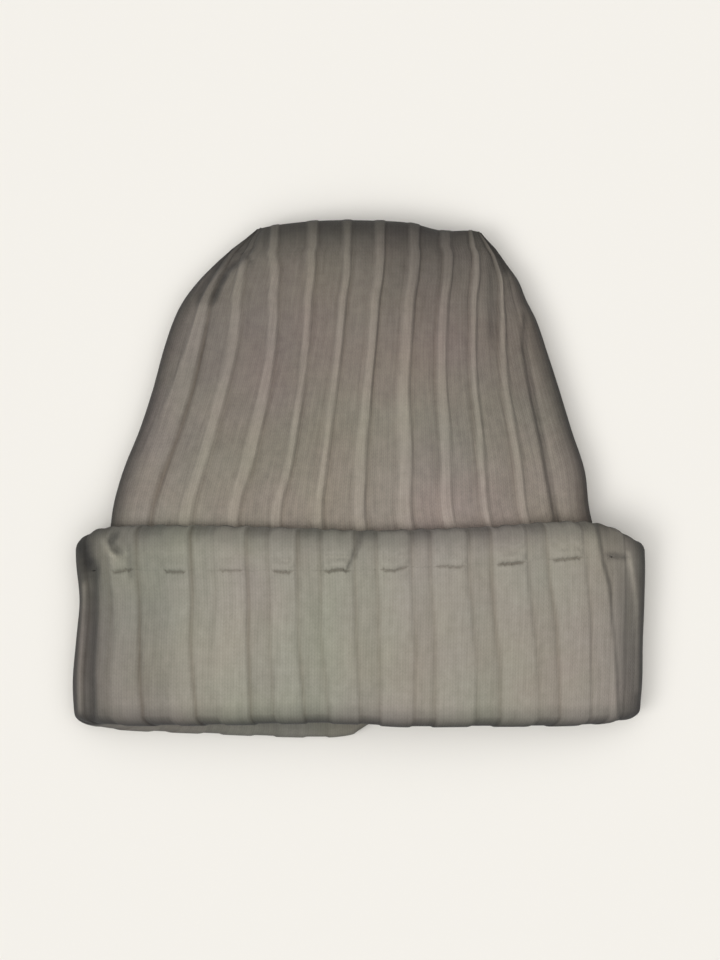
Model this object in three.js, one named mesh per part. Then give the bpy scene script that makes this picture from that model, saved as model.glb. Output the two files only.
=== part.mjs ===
// A ribbed knit beanie with a turned-up cuff, lying on its back as it does on a table.
// Millimetres. X runs across the hat, +Y towards the crown's closed top, +Z up from the table.
// Rib numbers run from -5.5 at the left side over the front to 5.5, and on round the back to 16.5.
import * as THREE from "three";

// The knit
const RIBS_AROUND = 22;
const KNIT_THICKNESS = 4.4;
const PIECE_GAP = 0.3;
const SEAM_GAP = 0.5;
const CROWN_RIB = { raisedHalf: 0.13, slope: 0.1, depth: 1.5, first: -5 };
const CUFF_RIB = { raisedHalf: 0.27, slope: 0.1, depth: 1.5, first: -4.5 };
const SIDE_FADE = 0.55;

// The cross section: a flattened oval that is fuller on its lower side, where it lies
const UPPER_ROUNDNESS = 2.0;
const LOWER_ROUNDNESS = 3.6;
const PARTING_SHARE = 0.36;
const LYING_FLATTENED = 0.8;
const SIDE_WALL_FACTOR = 1.6;
const EDGE_CROWDING = 4;
const WIDEST_SPREAD = 1.2;
const CURVE_STEPS = 96;
const THINNEST = { halfWidth: 1, halfHeight: 0.6 };

// Moves the whole hat, so that the middle of its footprint is at the origin
const MIDDLE_Y = 1.4;

// The hat from its lower edge to its shoulders: a row for each section of the body and crown
const CROWN_SECTIONS = [
  { y: -91.2, centreX: -1.1, halfWidth: 105.4, bottomZ: 4.9, topZ: 27.8, ribPitch: 20.4, ribShift: 3.0 },
  { y: -60.0, centreX: -0.8, halfWidth: 102.8, bottomZ: 4.9, topZ: 29.8, ribPitch: 19.5, ribShift: 2.6 },
  { y: -30.0, centreX: -2.0, halfWidth: 99.3, bottomZ: 4.9, topZ: 30.8, ribPitch: 18.5, ribShift: 2.0 },
  { y: -10.9, centreX: -3.6, halfWidth: 96.2, bottomZ: 4.2, topZ: 30.6, ribPitch: 17.6, ribShift: 1.8 },
  { y: 5.2, centreX: -2.4, halfWidth: 93.2, bottomZ: 1.4, topZ: 30.0, ribPitch: 16.7, ribShift: 1.6 },
  { y: 21.4, centreX: -1.8, halfWidth: 87.4, bottomZ: 0.0, topZ: 29.6, ribPitch: 15.7, ribShift: 2.2 },
  { y: 37.5, centreX: -1.6, halfWidth: 82.3, bottomZ: 0.0, topZ: 29.4, ribPitch: 14.5, ribShift: 3.2 },
  { y: 53.7, centreX: -2.0, halfWidth: 77.5, bottomZ: 0.0, topZ: 29.0, ribPitch: 13.7, ribShift: 5.4 },
  { y: 65.8, centreX: -2.0, halfWidth: 73.4, bottomZ: 0.0, topZ: 28.4, ribPitch: 13.4, ribShift: 6.6 },
  { y: 73.8, centreX: -2.0, halfWidth: 69.4, bottomZ: 0.0, topZ: 28.0, ribPitch: 13.4, ribShift: 7.2 },
  { y: 81.9, centreX: -0.6, halfWidth: 64.6, bottomZ: 0.0, topZ: 27.4, ribPitch: 13.4, ribShift: 7.0 },
  { y: 89.0, centreX: 0.4, halfWidth: 58.6, bottomZ: 0.0, topZ: 26.8, ribPitch: 13.4, ribShift: 6.6 },
  { y: 94.8, centreX: 1.6, halfWidth: 53.4, bottomZ: 0.0, topZ: 26.0, ribPitch: 13.4, ribShift: 5.6 },
];
const CROWN_ROWS = [-91.2, -58, -32, -20, -10, 1, 12, 23, 34, 45, 55, 64, 72, 79, 85, 90, 94.8];
const CROWN_INNER_ROWS = [-91.2, -58, -28, -4, 20, 44, 66, 82, 92];

// The crown's closed end: the ribs roll over the top edge and gather into a short slot
const ROLL_RADIUS = 8.2;
const ROLL_NARROWING = 8.0;
const ROLL_SHIFT = 2.0;
const ROLL_STEPS = 4;
const CORNER_CROWDING = 9;
const RECESS_AT_EDGE = 0.5;
const GATHER = { shrink: 11, narrow: 18, y: 99.5 };
const INNER_END = { shrink: 10.8, narrow: 16, y: 95.8 };

// How far up the rolled top edge reaches, across the hat
const TOP_EDGE = [
  { x: -46, y: 101.0 },
  { x: -32, y: 103.8 },
  { x: -14, y: 105.8 },
  { x: 6, y: 105.7 },
  { x: 20, y: 104.4 },
  { x: 33, y: 101.2 },
  { x: 46, y: 101.2 },
  { x: 53, y: 99.6 },
];

// How far the front ribs of the crown lie from their even places, in rib spacings
const DRIFT_RIBS = ["l5", "l4", "l3", "l2", "l1", "mid", "r1", "r2", "r3", "r4", "r5"];
const CROWN_DRIFT = namedRows(["y", ...DRIFT_RIBS], [
  [-40.0, 0.02, 0.12, 0.12, 0.12, 0.05, -0.02, 0.06, 0.06, -0.03, -0.12, -0.08],
  [-10.0, 0.04, 0.16, 0.15, 0.16, 0.07, -0.02, 0.07, 0.07, -0.03, -0.13, -0.09],
  [12.0, 0.13, 0.15, 0.21, 0.25, 0.13, -0.01, 0.14, 0.14, -0.02, -0.17, -0.12],
  [36.0, 0.22, 0.2, 0.21, 0.24, 0.1, 0.01, 0.04, 0.24, 0.13, -0.04, -0.2],
  [60.0, 0.32, 0.23, 0.21, 0.14, 0.09, 0.03, 0.09, 0.27, 0.19, 0.09, -0.07],
  [84.7, 0.0, -0.1, -0.02, -0.03, -0.02, -0.01, -0.03, 0.23, 0.2, 0.32, 0.0],
  [97.0, 0.0, -0.45, -0.3, -0.09, 0.01, 0.04, 0.12, 0.22, 0.32, 0.2, 0.0],
]);
// The slack rib at the crown's left side is wider than the others, most of all near the cuff
const FIRST_RIB_HALF = [
  { y: -40, half: 0.3 },
  { y: 12, half: 0.29 },
  { y: 36, half: 0.25 },
  { y: 60, half: 0.19 },
  { y: 80, half: 0.13 },
];

// The turned-up cuff: a row for each section of its outer face
const CUFF_SECTIONS = [
  { y: -103, centreX: -0.8, halfWidth: 113.6, bottomZ: 0, topZ: 33.0, ribPitch: 22.5, ribShift: 4.2 },
  { y: -91.2, centreX: -1.2, halfWidth: 114.4, bottomZ: 0, topZ: 33.4, ribPitch: 22.5, ribShift: 4.4 },
  { y: -79.5, centreX: -1.0, halfWidth: 115.0, bottomZ: 0, topZ: 34.6, ribPitch: 22.5, ribShift: 4.4 },
  { y: -63.4, centreX: -0.2, halfWidth: 114.4, bottomZ: 0, topZ: 35.8, ribPitch: 22.5, ribShift: 3.8 },
  { y: -47.2, centreX: 0.8, halfWidth: 114.0, bottomZ: 0, topZ: 36.6, ribPitch: 22.5, ribShift: 3.2 },
  { y: -31.0, centreX: 0.2, halfWidth: 114.8, bottomZ: 0, topZ: 37.4, ribPitch: 22.6, ribShift: 3.4 },
  { y: -15.0, centreX: -0.2, halfWidth: 114.2, bottomZ: 0, topZ: 37.8, ribPitch: 22.6, ribShift: 3.4 },
];
// Where the cuff's rim and bottom fold run, and how high its hem is, from the left side to the right
const CUFF_EDGES = [
  { rib: -5.5, rimFront: -23.5, rimBack: -23.5, hemHeight: 12.5, foldFront: -96.6, foldBack: -96.6 },
  { rib: -4.9, rimFront: -18.0, rimBack: -19.0, hemHeight: 17.0, foldFront: -97.4, foldBack: -99.6 },
  { rib: -3.0, rimFront: -16.9, rimBack: -18.0, hemHeight: 17.6, foldFront: -97.2, foldBack: -102.0 },
  { rib: -1.0, rimFront: -18.0, rimBack: -18.0, hemHeight: 16.4, foldFront: -97.2, foldBack: -103.0 },
  { rib: 0.0, rimFront: -18.8, rimBack: -18.0, hemHeight: 15.2, foldFront: -97.2, foldBack: -102.4 },
  { rib: 0.7, rimFront: -18.5, rimBack: -18.0, hemHeight: 14.9, foldFront: -97.2, foldBack: -97.6 },
  { rib: 2.0, rimFront: -17.5, rimBack: -17.6, hemHeight: 14.7, foldFront: -97.2, foldBack: -97.2 },
  { rib: 4.3, rimFront: -15.8, rimBack: -17.4, hemHeight: 13.4, foldFront: -97.2, foldBack: -96.8 },
  { rib: 5.5, rimFront: -25.0, rimBack: -25.0, hemHeight: 7.0, foldFront: -95.6, foldBack: -95.6 },
];
const CUFF_RIBS = [
  { rib: -4.5, drift: 0.1, half: 0.28 },
  { rib: -3.5, drift: -0.01, half: 0.29 },
  { rib: -2.5, drift: 0.02, half: 0.24 },
  { rib: -1.5, drift: -0.04, half: 0.22 },
  { rib: -0.5, drift: -0.09, half: 0.28 },
  { rib: 0.5, drift: -0.06, half: 0.29 },
  { rib: 1.5, drift: -0.02, half: 0.3 },
  { rib: 2.5, drift: 0.07, half: 0.31 },
  { rib: 3.5, drift: 0.18, half: 0.31 },
  { rib: 4.5, drift: 0.26, half: 0.17 },
];
const FOLD_RADIUS = KNIT_THICKNESS + PIECE_GAP / 2;
const FOLD_STEPS = 4;
const WALL_STEPS = 4;
const INNER_LEG_TOP = -91.5;
const LEG_SLIT = 0.2;
// The cuff's edge at the seam: how deep its rounding is, and how far down it reaches
const SEAM_ROUNDING = { inset: 0.6, height: 1.6 };

// The hem's profile, once round: inset from the cuff's outer face, and share of the hem's height
const HEM_PROFILE = [
  { inset: 0.6, height: 0.0, face: true },
  { inset: 0.0, height: 0.1, face: true },
  { inset: 0.0, height: 0.73, face: true },
  { inset: 0.64, height: 0.92, face: true },
  { inset: 2.2, height: 1.0, face: false },
  { inset: 3.8, height: 0.96, face: false },
  { inset: 4.4, height: 0.86, face: false },
  { inset: 4.4, height: 0.0, face: false },
];

// Creases and dents in the upper side, each along a few points. A step lowers the ground beside
// the crease: on its right for a positive step, on its left for a negative one.
const CREASES = [
  { name: "left shoulder", path: [[-41.5, 98], [-58, 85.5], [-69, 75]], width: 2.6, depth: 3.2, step: 2.2 },
  { name: "top notch", path: [[34.6, 103], [37.5, 98]], width: 2.6, depth: 3.2, step: 0 },
  { name: "right shoulder", path: [[56, 95], [58.5, 86]], width: 2.6, depth: 2.2, step: -1.2 },
  { name: "right valley", path: [[53, 92], [52.5, 78], [50.5, 58]], width: 3.4, depth: 1.6, step: 0 },
  { name: "right side", path: [[66.6, 74], [69.4, 36.3], [79.5, -18]], width: 3.0, depth: 1.6, step: -0.9 },
  { name: "left side", path: [[-61, 74], [-68.6, 36.3], [-86.5, -18]], width: 3.0, depth: 1.8, step: 1.0 },
  { name: "cuff left", path: [[-108, -36], [-107.8, -95]], width: 2.4, depth: 2.4, step: 0.8 },
  { name: "cuff left corner", path: [[-112, -24], [-108.5, -28]], width: 2.4, depth: 2.4, step: 0 },
  { name: "cuff right", path: [[94.8, -19], [102, -49], [102.6, -97]], width: 2.4, depth: 1.8, step: -1.4 },
];
const STEP_REACH = 9;

const RIBS_PER_SIDE = RIBS_AROUND / 4;
const CROWN_END = CROWN_SECTIONS[CROWN_SECTIONS.length - 1];

// A table's rows as objects with named columns.
function namedRows(columns, rows) {
  return rows.map((row) => Object.fromEntries(columns.map((name, i) => [name, row[i]])));
}

// Smooth value of every column of a table at one place along it.
function interpolate(rows, column, place) {
  const last = rows.length - 1;
  const inside = THREE.MathUtils.clamp(place, rows[0][column], rows[last][column]);
  let i = 0;
  while (i < last - 1 && inside > rows[i + 1][column]) {
    i += 1;
  }
  const [from, to] = [rows[i], rows[i + 1]];
  const before = rows[Math.max(i - 1, 0)];
  const after = rows[Math.min(i + 2, last)];
  const span = to[column] - from[column];
  const t = (inside - from[column]) / span;
  const values = {};
  for (const name of Object.keys(from)) {
    const slopeFrom = ((to[name] - before[name]) / (to[column] - before[column])) * span;
    const slopeTo = ((after[name] - from[name]) / (after[column] - from[column])) * span;
    const rise = to[name] - from[name];
    const cubic = slopeFrom + slopeTo - 2 * rise;
    const square = 3 * rise - 2 * slopeFrom - slopeTo;
    values[name] = from[name] + t * (slopeFrom + t * (square + t * cubic));
  }
  return values;
}

// Quarter of the oval from its middle out to its side, as points with the length walked so far.
function quarterCurve(halfWidth, halfHeight, roundness) {
  const power = 2 / roundness;
  const points = [];
  let walked = 0;
  for (let i = 0; i <= CURVE_STEPS; i += 1) {
    const angle = (Math.PI / 2) * (i / CURVE_STEPS);
    const x = halfWidth * Math.sin(angle) ** power;
    const rise = halfHeight * Math.max(Math.cos(angle), 0) ** power;
    if (i > 0) {
      walked += Math.hypot(x - points[i - 1].x, rise - points[i - 1].rise);
    }
    points.push({ x, rise, walked });
  }
  return points;
}

// Point and outward direction at a length along a quarter curve.
function pointOnCurve(points, length) {
  const last = points.length - 1;
  let i = 0;
  while (i < last - 1 && points[i + 1].walked < length) {
    i += 1;
  }
  const [from, to] = [points[i], points[i + 1]];
  const t = THREE.MathUtils.clamp((length - from.walked) / (to.walked - from.walked), 0, 1);
  const across = (to.x - from.x) / (to.walked - from.walked);
  const fall = (from.rise - to.rise) / (to.walked - from.walked);
  return {
    x: THREE.MathUtils.lerp(from.x, to.x, t),
    rise: THREE.MathUtils.lerp(from.rise, to.rise, t),
    outX: fall,
    outRise: across,
  };
}

// Where a point lies beside a crease: its distance, the side it is on, and how far past an end.
function besideCrease(path, x, y) {
  let nearest = { distance: Infinity };
  for (let i = 1; i < path.length; i += 1) {
    const [[x0, y0], [x1, y1]] = [path[i - 1], path[i]];
    const length = Math.hypot(x1 - x0, y1 - y0);
    const [ux, uy] = [(x1 - x0) / length, (y1 - y0) / length];
    const along = (x - x0) * ux + (y - y0) * uy;
    const side = (x - x0) * uy - (y - y0) * ux;
    const beyond = Math.max(-along, along - length, 0);
    const distance = Math.hypot(side, beyond);
    const atEnd = along < 0 ? i === 1 : i === path.length - 1;
    if (distance < nearest.distance) {
      nearest = { distance, side, past: atEnd ? beyond : 0 };
    }
  }
  return nearest;
}

// How deep the creases cut at a point of the upper side.
function creaseDepth(x, y) {
  let depth = 0;
  for (const crease of CREASES) {
    const { distance, side, past } = besideCrease(crease.path, x, y);
    const reach = Math.exp(-((side / STEP_REACH) ** 4) - (past / (2 * crease.width)) ** 2);
    const dropped = THREE.MathUtils.smoothstep(side * Math.sign(crease.step), 0, crease.width);
    depth += crease.depth * Math.exp(-((distance / crease.width) ** 2));
    depth += Math.abs(crease.step) * dropped * reach;
  }
  return depth;
}

// A point of the hat: which section and rib, how far in from the outer face, how deep between ribs.
function hatPoint(section, rib, y, inset, depth) {
  const upper = rib <= RIBS_PER_SIDE;
  const number = upper ? rib : 2 * RIBS_PER_SIDE - rib;
  const partingZ = section.bottomZ + PARTING_SHARE * (section.topZ - section.bottomZ);
  const halfWidth = Math.max(section.halfWidth - SIDE_WALL_FACTOR * inset, THINNEST.halfWidth);
  const fullHeight = upper ? section.topZ - partingZ : partingZ - section.bottomZ + LYING_FLATTENED;
  const halfHeight = Math.max(fullHeight - inset, THINNEST.halfHeight);
  const curve = quarterCurve(halfWidth, halfHeight, upper ? UPPER_ROUNDNESS : LOWER_ROUNDNESS);
  const sideLength = curve[CURVE_STEPS].walked;
  const scale = halfWidth / section.halfWidth;
  const pitch = Math.min(section.ribPitch * scale, (WIDEST_SPREAD * sideLength) / RIBS_PER_SIDE);
  const share = number / RIBS_PER_SIDE;
  const crowding = Math.sign(share) * Math.abs(share) ** EDGE_CROWDING;
  const crowded = (sideLength - RIBS_PER_SIDE * pitch) * crowding;
  const length = pitch * number + section.ribShift * scale * (1 - share * share) + crowded;
  const on = pointOnCurve(curve, Math.abs(length));
  const x = section.centreX + Math.sign(length) * (on.x - depth * on.outX);
  if (!upper) {
    const lowest = Math.max(section.bottomZ, 0) + THREE.MathUtils.clamp(inset, 0, fullHeight);
    return new THREE.Vector3(x, y, Math.max(partingZ - (on.rise - depth * on.outRise), lowest));
  }
  const z = partingZ + on.rise - depth * on.outRise;
  const upperShare = THREE.MathUtils.clamp((2 * on.rise) / halfHeight, 0, 1);
  return new THREE.Vector3(x, y, z - creaseDepth(x, y) * upperShare);
}

// 0 at the two sides of the hat, where the ribs flatten out, and 1 away from them.
function awayFromSides(rib) {
  const fromLeft = Math.abs(rib + RIBS_PER_SIDE);
  const fromRight = Math.abs(rib - RIBS_PER_SIDE);
  const fromLeftAgain = Math.abs(rib - 3 * RIBS_PER_SIDE);
  return THREE.MathUtils.smoothstep(Math.min(fromLeft, fromRight, fromLeftAgain), 0, SIDE_FADE);
}

// Columns round the hat, four to a rib: two on the raised land and two on the recess floor.
function ribColumns({ slope, depth, first }, placeOf) {
  const columns = [];
  const add = (rib, recess) => {
    const wrapped = rib > 3 * RIBS_PER_SIDE ? rib - RIBS_AROUND : rib;
    columns.push({ rib: wrapped, depth: recess * awayFromSides(wrapped) });
  };
  for (let k = 0; k < RIBS_AROUND; k += 1) {
    const here = placeOf(first + k);
    const next = placeOf(first + ((k + 1) % RIBS_AROUND));
    const nextMiddle = k + 1 < RIBS_AROUND ? next.middle : next.middle + RIBS_AROUND;
    add(here.middle - here.half, 0);
    add(here.middle + here.half, 0);
    add(here.middle + here.half + slope, depth);
    add(nextMiddle - next.half - slope, depth);
  }
  return columns;
}

// Columns of the crown at a height: the front ribs lean and kink on their way up.
function crownColumns(y) {
  const drift = interpolate(CROWN_DRIFT, "y", y);
  const firstHalf = interpolate(FIRST_RIB_HALF, "y", y).half;
  return ribColumns(CROWN_RIB, (number) => {
    const name = DRIFT_RIBS[number - CROWN_RIB.first];
    const half = number === CROWN_RIB.first ? firstHalf : CROWN_RIB.raisedHalf;
    return { middle: number + (name ? drift[name] : 0), half };
  });
}

// Columns of the cuff. Its front ribs are uneven in place and width.
function cuffColumns() {
  return ribColumns(CUFF_RIB, (number) => {
    const row = CUFF_RIBS.find((r) => r.rib === number) ?? { drift: 0, half: CUFF_RIB.raisedHalf };
    return { middle: number + row.drift, half: row.half };
  });
}

// Closed surface through rings of equal length: the last ring meets the first, or each end has a fan.
function surfaceThrough(rings, endsMeet) {
  const count = rings[0].length;
  const positions = rings.flat().flatMap((p) => [p.x, p.y - MIDDLE_Y, p.z]);
  const indices = [];
  const strips = endsMeet ? rings.length : rings.length - 1;
  for (let i = 0; i < strips; i += 1) {
    const here = i * count;
    const next = ((i + 1) % rings.length) * count;
    for (let j = 0; j < count; j += 1) {
      const k = (j + 1) % count;
      indices.push(here + j, here + k, next + k);
      indices.push(here + j, next + k, next + j);
    }
  }
  if (!endsMeet) {
    addFan(positions, indices, rings[0], 0, true);
    addFan(positions, indices, rings[rings.length - 1], (rings.length - 1) * count, false);
  }
  const geometry = new THREE.BufferGeometry();
  geometry.setAttribute("position", new THREE.Float32BufferAttribute(positions, 3));
  geometry.setIndex(indices);
  geometry.computeVertexNormals();
  return geometry;
}

// Triangles from a ring to its middle point.
function addFan(positions, indices, ring, start, first) {
  const middle = new THREE.Vector3();
  ring.forEach((p) => middle.addScaledVector(p, 1 / ring.length));
  const centre = positions.length / 3;
  positions.push(middle.x, middle.y - MIDDLE_Y, middle.z);
  for (let j = 0; j < ring.length; j += 1) {
    const k = (j + 1) % ring.length;
    indices.push(...(first ? [start + k, start + j, centre] : [start + j, start + k, centre]));
  }
}

// The last section of the crown made smaller, for the rows that close the top.
function closingSection(shrink, narrow, shift) {
  const halfWidth = CROWN_END.halfWidth - narrow;
  const scale = halfWidth / CROWN_END.halfWidth;
  return {
    centreX: CROWN_END.centreX + shift,
    halfWidth,
    bottomZ: CROWN_END.bottomZ + shrink,
    topZ: CROWN_END.topZ - shrink,
    ribPitch: CROWN_END.ribPitch * scale,
    ribShift: CROWN_END.ribShift * scale,
  };
}

// A point of the crown's last ring moved onto a smaller oval. Columns crowd only near the two sides.
function closingPoint(end, shift, point, upper, y) {
  const partingZ = end.bottomZ + PARTING_SHARE * (end.topZ - end.bottomZ);
  const side = Math.sign(point.x - end.centreX);
  const reach = Math.abs(point.x - end.centreX) / end.halfWidth;
  const tip = (CROWN_END.halfWidth - side * shift) / end.halfWidth;
  const crowding = Math.max(1 - tip ** -CORNER_CROWDING, 0);
  const crowded = reach / (1 + crowding * reach ** CORNER_CROWDING) ** (1 / CORNER_CROWDING);
  const share = Math.min(crowded, 1);
  const roundness = upper ? UPPER_ROUNDNESS : LOWER_ROUNDNESS;
  const height = upper ? end.topZ - partingZ : partingZ - end.bottomZ;
  const rise = height * (1 - share ** roundness) ** (1 / roundness);
  const x = end.centreX + side * share * end.halfWidth;
  return new THREE.Vector3(x, y, partingZ + (upper ? rise : -rise));
}

// The rings that roll over the top edge and gather behind it. The ribs run straight on over the edge.
function closingRings(columns) {
  const flat = columns.map((c) => hatPoint(CROWN_END, c.rib, CROWN_END.y, 0, 0));
  const ribbed = columns.map((c) => hatPoint(CROWN_END, c.rib, CROWN_END.y, 0, c.depth));
  const rings = [];
  const add = (shrink, narrow, shift, reliefShare, placeOf) => {
    const end = closingSection(shrink, narrow, shift);
    rings.push(
      columns.map((c, n) => {
        const point = closingPoint(end, shift, flat[n], c.rib <= RIBS_PER_SIDE, placeOf(c, flat[n]));
        return point.addScaledVector(ribbed[n].clone().sub(flat[n]), reliefShare);
      }),
    );
  };
  for (let i = 1; i <= ROLL_STEPS; i += 1) {
    const angle = (Math.PI / 2) * (i / ROLL_STEPS);
    const [up, back] = [Math.sin(angle), Math.cos(angle)];
    const placeOf = (c, p) => {
      const edge = interpolate(TOP_EDGE, "x", p.x).y - RECESS_AT_EDGE * c.depth;
      return CROWN_END.y + (edge - CROWN_END.y) * up;
    };
    add(ROLL_RADIUS * (1 - back), ROLL_NARROWING * up, ROLL_SHIFT * up, back, placeOf);
  }
  add(GATHER.shrink, GATHER.narrow, ROLL_SHIFT, 0, () => GATHER.y);
  return rings;
}

// The body and crown: one knitted wall, open at its lower edge and gathered shut at the top.
function crownGeometry() {
  const ringAt = (y, inset, share) => {
    const section = interpolate(CROWN_SECTIONS, "y", y);
    return crownColumns(y).map((c) => hatPoint(section, c.rib, y, inset, c.depth * share));
  };
  const innerEnd = closingSection(INNER_END.shrink, INNER_END.narrow, 0);
  const columns = crownColumns(CROWN_END.y);
  const rings = [columns.map((c) => hatPoint(innerEnd, c.rib, INNER_END.y, 0, 0))];
  rings.push(...[...CROWN_INNER_ROWS].reverse().map((y) => ringAt(y, KNIT_THICKNESS, 0)));
  rings.push(...CROWN_ROWS.map((y) => ringAt(y, 0, 1)));
  rings.push(...closingRings(columns));
  return surfaceThrough(rings, false);
}

// Places of the cuff's rim, of the seam under its hem and of its bottom fold, at a rib number.
function cuffEdges(rib) {
  const front = rib <= RIBS_PER_SIDE;
  const edges = interpolate(CUFF_EDGES, "rib", front ? rib : 2 * RIBS_PER_SIDE - rib);
  const rim = front ? edges.rimFront : edges.rimBack;
  const fold = front ? edges.foldFront : edges.foldBack;
  return { rim, fold, seam: rim - edges.hemHeight };
}

// The turned-up band: up the outside from the bottom fold, with a short leg inside that meets the body.
function cuffGeometry() {
  const columns = cuffColumns();
  const rings = cuffProfile().map((row) =>
    columns.map((c) => {
      const { fold, seam } = cuffEdges(c.rib);
      const y = row.place(fold, seam - SEAM_GAP);
      return hatPoint(interpolate(CUFF_SECTIONS, "y", y), c.rib, y, row.inset, c.depth * row.ribShare);
    }),
  );
  return surfaceThrough(rings.reverse(), true);
}

// The cuff's profile, once round, starting at the seam under the hem and going down the outside.
function cuffProfile() {
  const rows = [];
  const add = (inset, ribShare, place) => rows.push({ inset, ribShare, place });
  add(SEAM_ROUNDING.inset, 1, (fold, top) => top);
  for (let i = 0; i <= WALL_STEPS; i += 1) {
    const share = i / WALL_STEPS;
    add(0, 1, (fold, top) => {
      const [from, to] = [top - SEAM_ROUNDING.height, fold + FOLD_RADIUS];
      return from + (to - from) * share;
    });
  }
  for (let i = 1; i <= FOLD_STEPS; i += 1) {
    const angle = Math.PI * (i / FOLD_STEPS);
    const drop = FOLD_RADIUS * (1 - Math.sin(angle));
    add(FOLD_RADIUS * (1 - Math.cos(angle)), Math.sqrt(Math.max(Math.cos(angle), 0)), (fold) => fold + drop);
  }
  const legOuter = KNIT_THICKNESS + PIECE_GAP;
  add(2 * FOLD_RADIUS, 0, () => INNER_LEG_TOP);
  add(legOuter, 0, () => INNER_LEG_TOP);
  add(legOuter, 0, (fold) => fold + FOLD_RADIUS + LEG_SLIT);
  add(KNIT_THICKNESS, 0, (fold) => fold + FOLD_RADIUS + LEG_SLIT);
  add(KNIT_THICKNESS, 0, (fold, top) => (fold + top) / 2);
  add(KNIT_THICKNESS, 0, (fold, top) => top);
  return rows;
}

// The doubled hem along the cuff's rim, flush with the band that it is sewn to.
function hemGeometry() {
  const columns = cuffColumns();
  const rings = HEM_PROFILE.map(({ inset, height, face }) =>
    columns.map((c) => {
      const { rim, seam } = cuffEdges(c.rib);
      const y = seam + (rim - seam) * height;
      return hatPoint(interpolate(CUFF_SECTIONS, "y", y), c.rib, y, inset, face ? c.depth : 0);
    }),
  );
  return surfaceThrough(rings, true);
}

const crownKnit = new THREE.MeshStandardMaterial({ color: 0x80786e, roughness: 0.95, metalness: 0 });
const cuffKnit = new THREE.MeshStandardMaterial({ color: 0x968f84, roughness: 0.95, metalness: 0 });

function namedMesh(name, geometry, material) {
  const mesh = new THREE.Mesh(geometry, material);
  mesh.name = name;
  return mesh;
}

const beanie = new THREE.Group();
beanie.add(namedMesh("crown", crownGeometry(), crownKnit));
beanie.add(namedMesh("cuff", cuffGeometry(), cuffKnit));
beanie.add(namedMesh("cuff_hem", hemGeometry(), cuffKnit));

export default beanie;
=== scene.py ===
# %% [markdown]
# # A ribbed beanie with a turned-up cuff
# The hat is one knitted tube, gathered shut at the crown and turned up once at its lower edge.
# It lies on its back on a pale floor, and the camera looks straight down at it.
# The solid model gives its size and place. This script knits the visible surface over it:
# the ribs, wales and folds are real geometry, and the single stitches are relief in the material.

# %% Load the solid model
import math

import bpy
import numpy as np
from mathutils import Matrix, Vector


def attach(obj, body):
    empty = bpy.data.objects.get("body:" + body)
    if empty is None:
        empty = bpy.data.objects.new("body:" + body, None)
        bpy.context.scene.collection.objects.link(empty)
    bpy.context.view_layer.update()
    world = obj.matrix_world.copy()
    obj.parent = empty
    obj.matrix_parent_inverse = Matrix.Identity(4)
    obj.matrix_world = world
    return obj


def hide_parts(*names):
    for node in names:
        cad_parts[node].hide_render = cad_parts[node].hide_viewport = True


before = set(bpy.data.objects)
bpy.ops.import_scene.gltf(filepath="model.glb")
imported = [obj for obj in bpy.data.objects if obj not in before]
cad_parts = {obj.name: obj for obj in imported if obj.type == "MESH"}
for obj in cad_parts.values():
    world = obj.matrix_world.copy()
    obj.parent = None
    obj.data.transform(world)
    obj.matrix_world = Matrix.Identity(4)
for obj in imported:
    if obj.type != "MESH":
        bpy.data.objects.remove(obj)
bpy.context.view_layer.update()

MM = 0.001

# %% [markdown]
# ## The camera
# A hat laid flat is photographed from straight above. A long lens keeps the near and far
# parts at one scale. The height above the hat follows from that lens and from how many
# millimetres of the table one pixel of the picture covers, measured at the hat's silhouette.

# %% Camera
PICTURE_ROWS = 960
MM_PER_PIXEL = 0.4035
SILHOUETTE_HEIGHT = 13 * MM
PICTURE_MIDDLE = (0.0, -0.2 * MM)

camera_data = bpy.data.cameras.new("camera")
camera_data.lens = 100
camera_data.sensor_width = 36
camera = bpy.data.objects.new("camera", camera_data)
bpy.context.scene.collection.objects.link(camera)
bpy.context.scene.camera = camera
picture_height = PICTURE_ROWS * MM_PER_PIXEL * MM
camera_height = SILHOUETTE_HEIGHT + picture_height * camera_data.lens / camera_data.sensor_width
camera.location = (*PICTURE_MIDDLE, camera_height)
print("camera", round(camera_height, 3), "m above the floor")

# %% [markdown]
# ## Writing shader maths as Python
# A material is a graph of nodes. Wrapping a socket in a small class lets sums and products
# of sockets be written as plain expressions, and each expression adds its own Math nodes.

# %% Wire


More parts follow.
